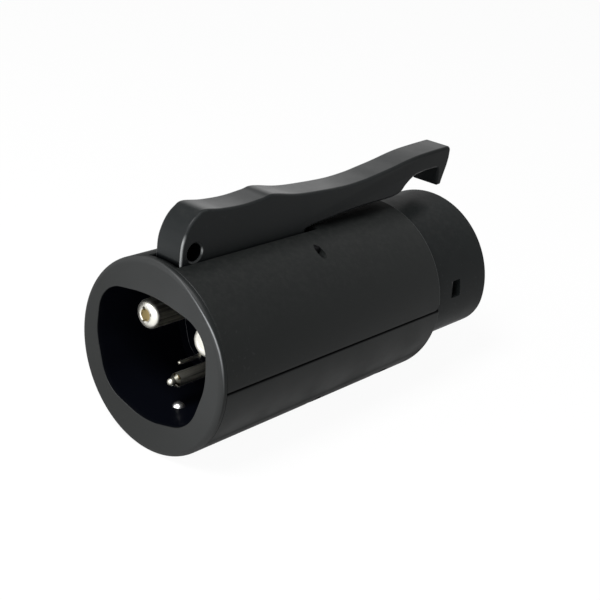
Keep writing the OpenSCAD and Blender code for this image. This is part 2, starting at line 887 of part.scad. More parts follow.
module ground_contact() {
    color(silver)
    translate([0, 0, -ground_contact_z])
        female_contact(ground_mate_d, contact_wall, ground_tail_front_r, busbar_front_x);
}

module signal_contact(s) {
    color(silver)
    translate([0, s * signal_contact_y, -signal_contact_z])
        female_contact(signal_mate_d, signal_wall, signal_tail_front_r, signal_tail_front_x);
}

module signal_contact_left() { signal_contact(1); }

module signal_contact_right() { signal_contact(-1); }

// Conductors

// Side view of a busbar: two clamping blocks joined by a cranked strip
module busbar_side(rear_z, front_z, block_h) {
    r0 = busbar_rear_x;
    r1 = busbar_rear_x + busbar_block;
    f0 = busbar_front_x;
    f1 = busbar_front_x + busbar_block;
    t = busbar_t / 2;
    polygon([
        [r0, rear_z - block_h], [r1, rear_z - block_h], [r1, rear_z - t], [r1 + busbar_crank, rear_z - t],
        [f0 - busbar_crank, front_z - t], [f0, front_z - t],
        [f0, front_z - block_h], [f1, front_z - block_h], [f1, front_z + block_h], [f0, front_z + block_h],
        [f0, front_z + t], [f0 - busbar_crank, front_z + t],
        [r1 + busbar_crank, rear_z + t], [r1, rear_z + t], [r1, rear_z + block_h], [r0, rear_z + block_h]
    ]);
}

module power_busbar(s) {
    mid_y = (power_pin_y + power_contact_y) / 2;
    half_w = abs(power_pin_y - power_contact_y) / 2 + power_tail_r + busbar_margin;
    color(copper)
    difference() {
        translate([0, s * mid_y, 0])
            across_y(2 * half_w)
                busbar_side(power_pin_z, power_contact_z, power_block_h);
        translate([0, s * power_pin_y, power_pin_z])
            rod_x(busbar_rear_x - past, busbar_rear_x + busbar_block, power_tail_r);
        translate([0, s * power_contact_y, power_contact_z])
            rod_x(busbar_front_x, busbar_front_x + busbar_block + past, power_tail_front_r);
    }
}

module power_busbar_left() { power_busbar(1); }

module power_busbar_right() { power_busbar(-1); }

module ground_busbar() {
    color(copper)
    difference() {
        across_y(2 * (ground_tail_r + busbar_margin))
            busbar_side(-ground_pin_z, -ground_contact_z, ground_block_h);
        translate([0, 0, -ground_pin_z])
            rod_x(busbar_rear_x - past, busbar_rear_x + busbar_block, ground_tail_r);
        translate([0, 0, -ground_contact_z])
            rod_x(busbar_front_x, busbar_front_x + busbar_block + past, ground_tail_front_r);
    }
}

module signal_lead(s) {
    rear = [signal_tail_x, s * signal_pin_y, -signal_pin_z];
    front = [signal_tail_front_x, s * signal_contact_y, -signal_contact_z];
    color(wire_orange)
        swept(concat(
            [rear],
            smooth([
                rear + [lead_start, 0, 0], rear + [lead_start + lead_bend, 0, 0],
                front - [lead_start + lead_bend, 0, 0], front - [lead_start, 0, 0]
            ], 5),
            [front]
        ), signal_lead_r);
}

module signal_lead_left() { signal_lead(1); }

module signal_lead_right() { signal_lead(-1); }

// Latch

// Side view of the lever: tail, dip, thumb hump, waist and hook along the top
function lever_outline() =
    let (
        top = body_r,
        neck_x = -pivot_x + boss_r + 0.15,
        back = smooth([
            [tail_x, belly_z], [tail_x + 0.1, top + 3.4], [tail_x + 1, top + 6.4], [tail_x + 2.5, top + 8.8],
            [tail_x + 4.5, top + tail_rise - 0.9], [tail_x + 6.8, top + tail_rise],
            [tail_x + 12.5, top + (tail_rise + dip_rise) / 2 - 0.2], [tail_x + 19.5, top + dip_rise],
            [tail_x + 26, top + hump_rise - 0.4], [tail_x + 28.6, top + hump_rise],
            [tail_x + 31.5, top + hump_rise - 0.3],
            [-pivot_x - 2.1, top + waist_rise + 1.1], [-0.8839 * pivot_x, top + waist_rise + 0.5],
            [-0.5673 * pivot_x, top + waist_rise], [-0.3509 * pivot_x, top + waist_rise + 0.35],
            [-0.1847 * pivot_x, top + waist_rise + 1.1],
            [-1, top + hook_rise - 2.2], [4.5, top + hook_rise - 1.3], [10, top + hook_rise - 0.65],
            [18, top + hook_rise - 0.2], [hook_reach - 0.6, hook_top_z], [hook_reach, hook_top_z - 0.8]
        ], 4),
        front = [
            [hook_reach - 0.15, hook_top_z - 3.4], [hook_reach - 0.7, hook_top_z - 5.6],
            [hook_reach - 1.4, hook_top_z - 7.3], [hook_reach - 2.6, hook_tip_z + 0.4],
            [hook_reach - 3.1, hook_tip_z], [hook_reach - 3 - hook_tip_t, hook_tip_z],
            [hook_inner_x, arm_under_z]
        ],
        under = smooth([
            [hook_inner_x - 0.3, arm_under_z], [hook_inner_x - 5, arm_under_z - 0.1],
            [8.6, arm_under_z - 0.7], [5.2, arm_under_z - 2.6], [3.3, top + front_gap + 1],
            [0.8, top + front_gap + 0.25], [-2.5, top + front_gap],
            [-0.3298 * pivot_x, top + front_gap - 0.2],
            [-0.5541 * pivot_x, top + front_gap * 0.65], [-0.7784 * pivot_x, top + 0.5],
            [slot_x1 - 0.5, top + 0.3], [slot_x1 - 2.2, top], [neck_x, top - 0.35]
        ], 4)
    )
    concat(back, front, under, [
        [neck_x, belly_z], [-pivot_x + boss_r, pivot_z], [-pivot_x - boss_r, pivot_z],
        [-pivot_x - boss_r, belly_z]
    ]);

module latch_lever() {
    color(black)
    difference() {
        union() {
            across_y(lever_w) polygon(lever_outline());
            translate([-pivot_x, 0, pivot_z]) rod_y(-lever_w / 2, lever_w / 2, boss_r);
            // Finger that works the switch
            box([plunger_x - finger_half_len, -finger_w / 2, finger_z],
                [plunger_x + finger_half_len, finger_w / 2, belly_z + past]);
        }
        translate([-pivot_x, 0, pivot_z]) rod_y(-lever_w, lever_w, pivot_r + pivot_slip);
        translate([padlock_x, 0, padlock_z]) {
            rod_y(-lever_w, lever_w, padlock_r);
            for (s = side)
                rotate([-s * 90, 0, 0])
                    translate([0, 0, lever_w / 2 - padlock_chamfer])
                        cylinder(
                            r1 = padlock_r, r2 = padlock_r + 2 * padlock_chamfer,
                            h = 2 * padlock_chamfer, $fn = fn_pin
                        );
        }
        translate([spring_x, 0, belly_z - past])
            cylinder(r = spring_r + spring_wire_r + pocket_gap, h = pocket_depth + past, $fn = fn_pin);
    }
}

module pivot_pin() {
    half_len = sqrt(body_r ^ 2 - pivot_z ^ 2) - pin_inset;
    color(steel)
        translate([-pivot_x, 0, pivot_z]) rod_y(-half_len, half_len, pivot_r);
}

module latch_spring() {
    color(steel)
        translate([spring_x, 0, slot_floor_z])
            coil(spring_r, spring_wire_r, belly_z + pocket_depth - slot_floor_z - spring_rest, spring_turns);
}

// Latch switch

module latch_switch() {
    color(dark_grey)
    difference() {
        box([plunger_x - switch_len / 2, -switch_w / 2, switch_z],
            [plunger_x + switch_len / 2, switch_w / 2, switch_top_z]);
        translate([plunger_x, 0, switch_top_z - plunger_bore])
            cylinder(r = plunger_r + plunger_slip, h = plunger_bore + past, $fn = fn_small);
    }
}

module switch_plunger() {
    foot_z = switch_top_z - plunger_bore + plunger_travel + slip;
    color(button_red)
        translate([plunger_x, 0, foot_z])
            cylinder(r = plunger_r, h = plunger_top_z - foot_z, $fn = fn_small);
}

module circuit_board() {
    color(board_green)
    difference() {
        box([board_x0, -board_w / 2, board_z], [board_x1, board_w / 2, switch_z]);
        at_spots(post_spots, post_y)
            translate([0, 0, board_z - past])
                cylinder(r = small_screw_d / 2 + slip, h = board_t + 2 * past, $fn = fn_small);
    }
}

module board_parts() {
    // Two resistors and the block that takes the leads
    color(resistor_tan)
        for (s = side)
            translate([resistor_x, s * resistor_y, switch_z + resistor_r])
                rod_x(0, resistor_len, resistor_r, fn_tiny);
    color(block_blue)
        box([board_x1 - block_len, -block_w / 2, switch_z], [board_x1, block_w / 2, switch_z + block_h]);
}

module board_screws() {
    color(steel)
    at_spots(post_spots, post_y)
        translate([0, 0, board_z - board_screw_head_h]) {
            difference() {
                cylinder(r = board_screw_head_r, h = board_screw_head_h, $fn = fn_small);
                translate([0, 0, -past]) cylinder(r = 0.6, h = past + 0.5, $fn = 6);
            }
            translate([0, 0, board_screw_head_h - 0.01])
                cylinder(r = small_screw_d / 2, h = board_screw_len - 0.2, $fn = fn_small);
        }
}

module board_leads() {
    z = switch_z + block_h / 2;
    // Both leads come down in front of the contacts' collars
    x = carrier_x - contact_collar_t - 2.9;
    y = -signal_contact_y - 0.35;
    ground_z = -ground_contact_z + ground_tail_front_r + lead_gap;
    signal_z = -signal_contact_z + signal_tail_front_r + lead_gap;
    color(wire_orange) {
        swept(concat(
            [[board_x1, 0, z]],
            smooth([
                [board_x1 + lead_start, 0, z], [board_x1 + 4, 0, z - 1], [x - 1.5, 0, z / 2 - 1.8],
                [x, 0, ground_z + 6], [x, 0, ground_z + lead_start]
            ], 4),
            [[x, 0, ground_z]]
        ), board_lead_r);
        swept(concat(
            [[board_x1, -3.6, z]],
            smooth([
                [board_x1 + lead_start, -3.6, z], [board_x1 + 3.5, -5.5, z - 0.2], [x - 1.5, y - 0.2, z - 4],
                [x, y, signal_z + 8], [x, y, signal_z + 3], [x, y, signal_z + lead_start]
            ], 4),
            [[x, y, signal_z]]
        ), board_lead_r);
    }
}

// Detent

module detent_ball() {
    color(silver)
        translate([detent_x, 0, ball_z]) sphere(r = ball_r, $fn = 48);
}

module detent_spring() {
    reach = sqrt((ball_r + detent_wire_r) ^ 2 - detent_spring_r ^ 2);
    height = ball_z - reach + detent_wire_r - spring_rest - (plug_z + plug_t);
    color(steel)
        translate([detent_x, 0, plug_z + plug_t])
            coil(detent_spring_r, detent_wire_r, height, detent_turns);
}

module detent_plug() {
    color(brass)
    translate([detent_x, 0, plug_z])
        difference() {
            cylinder(r = detent_bore_r, h = plug_t, $fn = fn_pin);
            translate([0, 0, -past]) cylinder(r = 0.8, h = past + 0.6, $fn = 6);
        }
}

// Body screws

module shell_screws() {
    color(steel)
    at_spots(screw_spots, screw_y)
        translate([0, 0, screw_seat_z - screw_head_h])
            difference() {
                union() {
                    cylinder(r = screw_head_r, h = screw_head_h, $fn = fn_pin);
                    translate([0, 0, screw_head_h - 0.01])
                        cylinder(r = screw_r, h = screw_tip_z - screw_seat_z - 0.2, $fn = fn_pin);
                }
                translate([0, 0, -past]) cylinder(r = 1.2, h = past + 1.4, $fn = 6);
            }
}

upper_shell();
lower_shell();
socket_insert();
pin_retainer();
retainer_screws();
pin_seals();
power_pin_left();
power_pin_right();
ground_pin();
signal_pin_left();
signal_pin_right();
nose_shell();
nose_seal();
contact_carrier();
power_contact_left();
power_contact_right();
ground_contact();
signal_contact_left();
signal_contact_right();
power_busbar_left();
power_busbar_right();
ground_busbar();
signal_lead_left();
signal_lead_right();
latch_lever();
pivot_pin();
latch_spring();
latch_switch();
switch_plunger();
circuit_board();
board_parts();
board_screws();
board_leads();
detent_ball();
detent_spring();
detent_plug();
shell_screws();
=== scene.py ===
"""Looks of a charging adapter: a pinned socket, a plug nose and a latch lever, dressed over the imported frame.

Sizes are written in millimetres in the row frame and turned into metres where a mesh is made. The origin
is on the nose's axis at the body's front face, +X points out of the nose and +Z towards the lever.
"""

from __future__ import annotations

import logging
import math
from collections.abc import Callable, Sequence
from dataclasses import dataclass, field
from enum import Enum

import bmesh
import bpy
import numpy as np
from mathutils import Matrix

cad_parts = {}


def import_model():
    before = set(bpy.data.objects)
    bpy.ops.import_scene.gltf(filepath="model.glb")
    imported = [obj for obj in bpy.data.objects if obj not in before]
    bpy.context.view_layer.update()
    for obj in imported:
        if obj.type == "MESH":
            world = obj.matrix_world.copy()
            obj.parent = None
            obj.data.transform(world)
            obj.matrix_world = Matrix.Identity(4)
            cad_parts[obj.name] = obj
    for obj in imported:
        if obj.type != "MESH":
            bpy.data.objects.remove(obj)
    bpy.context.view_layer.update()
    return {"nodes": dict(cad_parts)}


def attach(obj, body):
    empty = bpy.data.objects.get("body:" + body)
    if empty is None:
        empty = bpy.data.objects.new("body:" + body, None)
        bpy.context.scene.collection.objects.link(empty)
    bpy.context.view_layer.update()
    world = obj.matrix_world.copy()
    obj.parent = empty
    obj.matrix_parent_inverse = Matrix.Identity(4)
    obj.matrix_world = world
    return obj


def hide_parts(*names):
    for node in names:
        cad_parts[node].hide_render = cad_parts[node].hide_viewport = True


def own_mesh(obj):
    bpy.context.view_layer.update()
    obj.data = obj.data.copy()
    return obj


LOG = logging.getLogger("charging_adapter")
MM = 0.001
Vec3 = tuple[float, float, float]
Tone = tuple[float, float, float]
Ring = tuple[float, float | None, float]
Outline = Callable[[float], np.ndarray]

# Sizes that several pieces share, in millimetres

BODY_RADIUS = 23.8
PLATFORM_X = -56.6
PLATE_REAR_X = -51.6
SLOT_REAR_X = -78.7
SLOT_HALF = 4.7
PIVOT_AT = (-37.9, 20.7)
SPRING_X = -62.0
BALL_X = -70.7
BALL_Z = -16.33
BALL_RADIUS = 1.7

# Y, Z and radius of one pin of each kind; the ones beside the middle plane come in pairs

POWER_PIN: Vec3 = (9.7, 5.5, 3.7)
GROUND_PIN: Vec3 = (0.0, -8.35, 1.75)
SIGNAL_PIN: Vec3 = (8.2, -9.6, 0.55)


class Side(Enum):
    """Side of the middle plane, as seen looking into the socket."""

    LEFT = 1
    RIGHT = -1


class Half(Enum):
    """Half of the round body."""

    UPPER = 1
    LOWER = -1


class Axis(Enum):
    """Axis of a turned shape: which of (along, first across, second across) gives X, Y and Z."""

    X = (0, 1, 2)
    Y = (1, 0, 2)
    Z = (1, 2, 0)


class Combine(Enum):
    """What other shapes do to a piece."""

    CUT_AWAY = "DIFFERENCE"
    JOIN = "UNION"
    KEEP_WITHIN = "INTERSECT"


def both_sides(spots: Sequence[tuple[float, ...]]) -> list[tuple[float, ...]]:
    """Each spot (y, ...) followed by its mirror image (-y, ...); a spot with y = 0 stays single."""
    return [(side.value * y, *rest) for y, *rest in spots for side in (Side if y else (Side.LEFT,))]


# Outlines in a plane, in millimetres


def arc_points(centre: Sequence[float], radius: float, start: float, end: float, steps: int) -> np.ndarray:
    """Points on an arc: centre + radius * (cos a, sin a), with a running evenly from start to end.

    Args:
        centre: Centre of the arc.
        radius: Its radius.
        start: First angle in degrees.
        end: Last angle in degrees.
        steps: Number of steps between the two.

    Returns:
        An array of steps + 1 points.
    """
    a = np.radians(np.linspace(start, end, steps + 1))
    return np.asarray(centre, float) + radius * np.stack([np.cos(a), np.sin(a)], 1)


def smooth_curve(points: Sequence[Sequence[float]], steps: int) -> np.ndarray:
    """Runs a smooth curve through points: between b and c, with a before and d after,
    0.5 * (2b + (c-a)t + (2a-5b+4c-d)t^2 + (3b-a-3c+d)t^3).

    Args:
        points: Points of any dimension.
        steps: Steps between each two points.

    Returns:
        The points on the curve, both ends included.
    """
    p = np.asarray(points, float)
    padded = np.concatenate([p[:1], p, p[-1:]])
    a, b, c, d = padded[:-3, None], padded[1:-2, None], padded[2:-1, None], padded[3:, None]
    t = (np.arange(steps) / steps)[None, :, None]
    body = 0.5 * (2 * b + (c - a) * t + (2 * a - 5 * b + 4 * c - d) * t**2 + (3 * b - a - 3 * c + d) * t**3)
    return np.concatenate([body.reshape(-1, p.shape[1]), p[-1:]])


def rounded_corners(points: Sequence[Sequence[float]], radii: Sequence[float], steps: int = 8) -> np.ndarray:
    """Rounds the inner corners of an open line of points, each with the arc that touches both its sides.

    With u and v the directions before and after a corner p that turns by w, the arc starts at
    p - u * r tan(w/2) and its centre lies r away from there, on the side the line turns to.

    Args:
        points: Corner points; the first and last stay as they are.
        radii: Radius at each inner corner.
        steps: Steps of each arc.

    Returns:
        The rounded line.
    """
    p = np.asarray(points, float)
    line = [p[:1]]
    for here, before, after, radius in zip(p[1:-1], p[:-2], p[2:], radii):
        u = (here - before) / np.linalg.norm(here - before)
        v = (after - here) / np.linalg.norm(after - here)
        turn = math.atan2(u[0] * v[1] - u[1] * v[0], float(u @ v))
        side = 1.0 if turn > 0 else -1.0
        inward = side * np.array([-u[1], u[0]])
        centre = here - u * radius * math.tan(abs(turn) / 2) + radius * inward
        start = math.degrees(math.atan2(-inward[1], -inward[0]))
        line.append(arc_points(centre, radius, start, start + math.degrees(turn), steps))
    line.append(p[-1:])
    return np.concatenate(line)


def resampled(outline: np.ndarray, pitch: float) -> np.ndarray:
    """Splits the long steps of a closed outline, so that no step is longer than pitch.

    Args:
        outline: Points in order; the last joins the first.
        pitch: Longest step allowed.

    Returns:
        The denser outline.
    """
    ahead = np.roll(outline, -1, 0)
    counts = np.maximum(1, np.ceil(np.linalg.norm(ahead - outline, axis=1) / pitch)).astype(int)
    which = np.repeat(np.arange(len(outline)), counts)
    step = np.arange(len(which)) - np.repeat(np.cumsum(counts) - counts, counts)
    t = (step / counts[which])[:, None]
    return outline[which] * (1 - t) + ahead[which] * t


def polar_radius(outline: np.ndarray, angles: np.ndarray, pitch: float = 0.05) -> np.ndarray:
    """Distance from the origin to a star-shaped outline, in each direction.

    Args:
        outline: Closed outline round the origin.
        angles: Directions in radians.
        pitch: Longest step between the points of the outline that are read.

    Returns:
        One radius for each direction.
    """
    dense = resampled(outline, pitch)
    a = np.arctan2(dense[:, 1], dense[:, 0])
    order = np.argsort(a)
    return np.interp(np.mod(angles + math.pi, 2 * math.pi) - math.pi, a[order],
                     np.linalg.norm(dense[order], axis=1), period=2 * math.pi)


def inward_room(outline: np.ndarray, normals: np.ndarray, most: float, share: float = 0.92) -> np.ndarray:
    """How far each point of a closed outline can move inwards without meeting the outline's other side.

    A disc of radius d that touches the outline at p holds no other point q as long as
    d <= |q - p|^2 / (2 (p - q) . n), with n the outward normal at p.

    Args:
        outline: Closed outline.
        normals: Outward unit normals at its points.
        most: Largest distance of interest.
        share: Share of the free distance that counts, below 1 so that no two points meet.

    Returns:
        One distance for each point, none above most.
    """
    gap = outline[:, None] - outline[None]
    square = (gap**2).sum(2)
    facing = np.einsum("ijk,ik->ij", gap, normals)
    reach = np.where(facing > 1e-6, square / np.maximum(2 * facing, 1e-9), np.inf)
    near = square < 1e-6
    return np.minimum(np.where(near, np.inf, reach).min(1) * share, most)


def outward_normals(outline: np.ndarray) -> np.ndarray:
    """Unit normals of a counterclockwise closed outline: the mean of both steps' normals at each point.

    Args:
        outline: Closed outline.

    Returns:
        One outward unit vector for each point.
    """
    ahead = np.roll(outline, -1, 0) - outline
    ahead /= np.linalg.norm(ahead, axis=1, keepdims=True)
    step_normal = np.stack([ahead[:, 1], -ahead[:, 0]], 1)
    mean = step_normal + np.roll(step_normal, 1, 0)
    return mean / np.linalg.norm(mean, axis=1, keepdims=True)


@dataclass(frozen=True)
class CavitySection:
    """Section of the socket's cavity: low roof, steep sides and keeled floor."""

    half_width: float = 18.4
    roof: float = 15.9
    floor: float = 16.3
    roof_fall: float = 3.0
    side_lean: float = 1.0
    foot_in: float = 4.2
    foot_rise: float = 3.7
    radii: tuple[float, ...] = (20.0, 10.0, 16.0, 8.5, 40.0, 8.5, 16.0, 10.0)
    least_radius: float = 0.5

    def outline(self, inset: float) -> np.ndarray:
        """The section with its wall moved inwards.

        Each edge of the corner polygon moves inwards by the inset, and each corner's radius shrinks by it.

        Args:
            inset: Distance that the wall moves inwards; negative for outwards.

        Returns:
            Closed outline, counterclockwise.
        """
        half = self.half_width
        right = np.array([
            [0, -self.floor],
            [half - self.foot_in, self.foot_rise - self.floor],
            [half, 0],
            [half - self.side_lean, self.roof - self.roof_fall],
            [0, self.roof],
        ])
        corners = np.concatenate([right, right[3:0:-1] * [-1, 1]])
        after = np.roll(corners, -1, 0) - corners
        after /= np.linalg.norm(after, axis=1, keepdims=True)
        inner = np.stack([-after[:, 1], after[:, 0]], 1)
        before, n0 = np.roll(after, 1, 0), np.roll(inner, 1, 0)
        a, b = corners + inset * n0, corners + inset * inner
        cross = before[:, 0] * after[:, 1] - before[:, 1] * after[:, 0]
        run = ((b - a)[:, 0] * after[:, 1] - (b - a)[:, 1] * after[:, 0]) / cross
        moved = a + before * run[:, None]
        radii = np.maximum(np.array(self.radii) - inset, self.least_radius)
        start = (moved[0] + moved[-1]) / 2
        ring = np.concatenate([[start], moved, [start]])
        return rounded_corners(ring, radii, 10)[:-1]


@dataclass(frozen=True)
class NoseSection:
    """Section of the plug's nose: a round top, two lower corners and a flatter keel, all tangent."""

    radius: float = 21.9
    corner: float = 12.6
    keel: float = 26.5
    drop: float = 17.2

    def outline(self, inset: float) -> np.ndarray:
        """The section with its wall moved inwards.

        The corner arc's centre lies at the angle at which it touches both the top arc and the keel arc.

        Args:
            inset: Distance that the wall moves inwards.

        Returns:
            Closed outline, counterclockwise.
        """
        centre = self.keel - self.drop
        reach = self.radius - self.corner
        gap = self.keel - self.corner
        a = math.degrees(math.asin((gap**2 - reach**2 - centre**2) / (2 * reach * centre)))
        cy, cz = reach * math.cos(math.radians(a)), -reach * math.sin(math.radians(a))
        b = math.degrees(math.atan2(centre - cz, cy))
        parts = [
            arc_points((0, 0), self.radius - inset, -a, 180 + a, 120),
            arc_points((-cy, cz), self.corner - inset, 180 + a, 180 + b, 20)[1:],
            arc_points((0, centre), self.keel - inset, 180 + b, 360 - b, 40)[1:],
            arc_points((cy, cz), self.corner - inset, 360 - b, 360 - a, 20)[1:-1],
        ]
        return np.concatenate(parts)


# Meshes


def new_object(name: str, points: np.ndarray, faces: Sequence[np.ndarray]) -> bpy.types.Object:
    """Puts points and faces into a new object at the origin and makes its faces point outwards.

    Args:
        name: Name of the object.
        points: Points in millimetres.
        faces: Arrays of faces, each of one corner count, or lists of corner numbers.

    Returns:
        The new object, linked to the scene.
    """
    mesh = bpy.data.meshes.new(name)
    rows = [row for group in faces for row in np.asarray(group).tolist()]
    mesh.from_pydata((np.asarray(points, float) * MM).tolist(), [], rows)
    made = bmesh.new()
    made.from_mesh(mesh)
    bmesh.ops.remove_doubles(made, verts=made.verts, dist=1e-6)
    bmesh.ops.dissolve_degenerate(made, dist=1e-7, edges=made.edges)
    bmesh.ops.recalc_face_normals(made, faces=made.faces)
    made.to_mesh(mesh)
    made.free()
    piece = bpy.data.objects.new(name, mesh)
    bpy.context.scene.collection.objects.link(piece)
    return piece


def grid_faces(rows: int, columns: int, wrap_rows: bool = False, wrap_columns: bool = False) -> np.ndarray:
    """Quads over a grid whose point (i, j) has number i * columns + j.

    Args:
        rows: Number of rows of points.
        columns: Number of points in a row.
        wrap_rows: Whether the last row joins the first.
        wrap_columns: Whether each row's last point joins its first.

    Returns:
        An array of quads.
    """
    i = np.arange(rows if wrap_rows else rows - 1)[:, None]
    j = np.arange(columns if wrap_columns else columns - 1)[None]
    i2, j2 = (i + 1) % rows, (j + 1) % columns
    quads = np.stack([i * columns + j, i * columns + j2, i2 * columns + j2, i2 * columns + j], 2)
    return quads.reshape(-1, 4)


def turned(name: str, profile: Sequence[Sequence[float]], centre: tuple[float, float] = (0.0, 0.0),
           count: int = 64, axis: Axis = Axis.X) -> bpy.types.Object:
    """Turns a profile about a line: (s, r) at angle a goes to s along the axis, and across it to
    (c + r cos a, d + r sin a), with (c, d) the line's centre.

    Args:
        name: Name of the object.
        profile: Points of place along the axis and radius, from and to the line.
        centre: The line's place on the two axes across it, in the order X, Y, Z.
        count: Points round the turn.
        axis: Axis that the line runs along.

    Returns:
        The turned object.
    """
    p = np.asarray(profile, float)
    a = np.linspace(0, 2 * math.pi, count, endpoint=False)
    along = np.broadcast_to(p[:, :1], (len(p), count))
    parts = (along, centre[0] + p[:, 1:] * np.cos(a), centre[1] + p[:, 1:] * np.sin(a))
    points = np.stack([parts[i] for i in axis.value], 2).reshape(-1, 3)
    return new_object(name, points, [grid_faces(len(p), count, wrap_columns=True)])


def ring_rows(rings: Sequence[Ring], outline: Outline, a: np.ndarray) -> list[np.ndarray]:
    """Turns rings into points: at angle a, (x, r cos a, r sin a), with r a circle's or the section's at a.

    Args:
        rings: For each ring its place along X, then a circle's radius, or None and the section's inset.
        outline: Gives the section for an inset.
        a: Angles.

    Returns:
        One array of points for each ring.
    """
    rows = []
    for x, circle, inset in rings:
        r = np.full_like(a, circle) if circle is not None else polar_radius(outline(inset), a)
        rows.append(np.stack([np.full_like(a, x), r * np.cos(a), r * np.sin(a)], 1))
    return rows


def closing_rows(row: np.ndarray, shares: Sequence[float]) -> list[np.ndarray]:
    """Copies of a ring drawn in towards the axis: (x, share y, share z), down to share 0 on the axis."""
    return [row * [1.0, share, share] for share in shares]


def swept_tube(path: np.ndarray, radius: float, sides: int) -> tuple[np.ndarray, list[np.ndarray]]:
    """Carries a circle along a path: point + radius * (cos a * across + sin a * (aim x across)).

    Args:
        path: Points of the path.
        radius: Radius of the tube.
        sides: Points round the tube.

    Returns:
        Points and faces, the two end caps included.
    """
    aim = np.gradient(path, axis=0)
    aim /= np.linalg.norm(aim, axis=1, keepdims=True)
    across = np.cross(aim, [0.0, 0.0, 1.0])
    across /= np.linalg.norm(across, axis=1, keepdims=True)
    up = np.cross(aim, across)
    a = np.linspace(0, 2 * math.pi, sides, endpoint=False)[None, :, None]
    points = path[:, None] + radius * (np.cos(a) * across[:, None] + np.sin(a) * up[:, None])
    last = (len(path) - 1) * sides
    caps = [np.arange(sides)[::-1][None], (last + np.arange(sides))[None]]
    return points.reshape(-1, 3), [grid_faces(len(path), sides, wrap_columns=True), *caps]


def soft_block(name: str, low: Vec3, high: Vec3, edge: float) -> bpy.types.Object:
    """A block with rounded edges: the eight corners of the box, finished with a bevel.

    Args:
        name: Name of the object.
        low: Lowest corner.
        high: Highest corner.
        edge: Radius of the edges; 0 leaves them sharp.

    Returns:
        The block.
    """
    pick = np.arange(8)[:, None] >> np.arange(3) & 1
    points = np.where(pick == 1, np.asarray(high, float), np.asarray(low, float))
    faces = np.array([[0, 2, 3, 1], [4, 5, 7, 6], [0, 1, 5, 4], [2, 6, 7, 3], [0, 4, 6, 2], [1, 3, 7, 5]])
    block = new_object(name, points, [faces])
    if edge > 0:
        bevel = block.modifiers.new("rounded_edges", "BEVEL")
        bevel.width = edge * MM
        bevel.segments = 3
        settle(block)
    return block


def settle(piece: bpy.types.Object) -> None:
    """Puts the result of a piece's modifiers into its mesh.

    Args:
        piece: The piece; it ends up without modifiers.
    """
    graph = bpy.context.evaluated_depsgraph_get()
    result = bpy.data.meshes.new_from_object(piece.evaluated_get(graph), depsgraph=graph)
    old = piece.data
    piece.modifiers.clear()
    piece.data = result
    bpy.data.meshes.remove(old)


def discard(*pieces: bpy.types.Object) -> None:
    """Removes objects together with their meshes.

    Args:
        pieces: The objects.
    """
    for piece in pieces:
        mesh = piece.data
        bpy.data.objects.remove(piece)
        bpy.data.meshes.remove(mesh)


def combine(piece: bpy.types.Object, how: Combine, *others: bpy.types.Object) -> None:
    """Combines a piece with other closed shapes, one after the other; the others stay as they are.

    Args:
        piece: The piece that changes.
        how: What the others do to it.
        others: The closed shapes.
    """
    for number, other in enumerate(others):
        step = piece.modifiers.new(f"combine_{number}", "BOOLEAN")
        step.operation = how.value
        step.solver = "EXACT"
        step.object = other
    settle(piece)


def carve(piece: bpy.types.Object, *cutters: bpy.types.Object) -> None:
    """Cuts shapes out of a piece and removes them."""
    combine(piece, Combine.CUT_AWAY, *cutters)
    discard(*cutters)


def merge_into(piece: bpy.types.Object, *others: bpy.types.Object) -> None:
    """Adds other objects' faces to a piece as loose shells, and removes those objects.

    Args:
        piece: The piece that changes.
        others: The objects that go into it.
    """
    made = bmesh.new()
    for source in (piece, *others):
        made.from_mesh(source.data)
    discard(*others)
    made.to_mesh(piece.data)
    made.free()


def smooth_faces(piece: bpy.types.Object, sharp_from: float = 32.0) -> None:
    """Shades a piece smooth, keeps edges above an angle sharp, and lets large faces set the normals.

    Args:
        piece: The piece to shade.
        sharp_from: Angle in degrees from which an edge stays sharp.
    """
    piece.data.shade_smooth()
    piece.data.set_sharp_from_angle(angle=math.radians(sharp_from))
    weigh = piece.modifiers.new("face_weighted_normals", "WEIGHTED_NORMAL")
    weigh.keep_sharp = True
    weigh.weight = 50


# Marks: values that a mesh stores at its points, for its material to read


def positions(piece: bpy.types.Object) -> np.ndarray:
    """Places of a piece's points in millimetres, as three rows X, Y and Z.

    Args:
        piece: The piece.

    Returns:
        An array of three rows.
    """
    flat = np.empty(len(piece.data.vertices) * 3, np.float32)
    piece.data.vertices.foreach_get("co", flat)
    return (flat.reshape(-1, 3) / MM).T


def mark(piece: bpy.types.Object, name: str, values: np.ndarray) -> None:
    """Stores a value at each point of a piece.

    Args:
        piece: The piece.
        name: Name of the attribute.
        values: One value for each point.
    """
    layer = piece.data.attributes.new(name, "FLOAT", "POINT")
    layer.data.foreach_set("value", np.asarray(values, np.float32))


def ramp(value: np.ndarray, at_zero: float, at_one: float) -> np.ndarray:
    """0 up to at_zero and 1 from at_one on: (value - at_zero) / (at_one - at_zero), kept in between."""
    return np.clip((value - at_zero) / (at_one - at_zero), 0, 1)


def peak(value: np.ndarray, centre: float | np.ndarray, reach: float, top: float = 1.0) -> np.ndarray:
    """Falls off on both sides of a centre: top - |value - centre| / reach, kept between 0 and 1."""
    return np.clip(top - np.abs(value - centre) / reach, 0, 1)


def angle_round(y: np.ndarray, z: np.ndarray) -> np.ndarray:
    """Angle round the adapter's axis in degrees, from 0 to 360, with 0 towards +Y and 90 towards +Z."""
    return np.degrees(np.arctan2(z, y)) % 360


# Materials


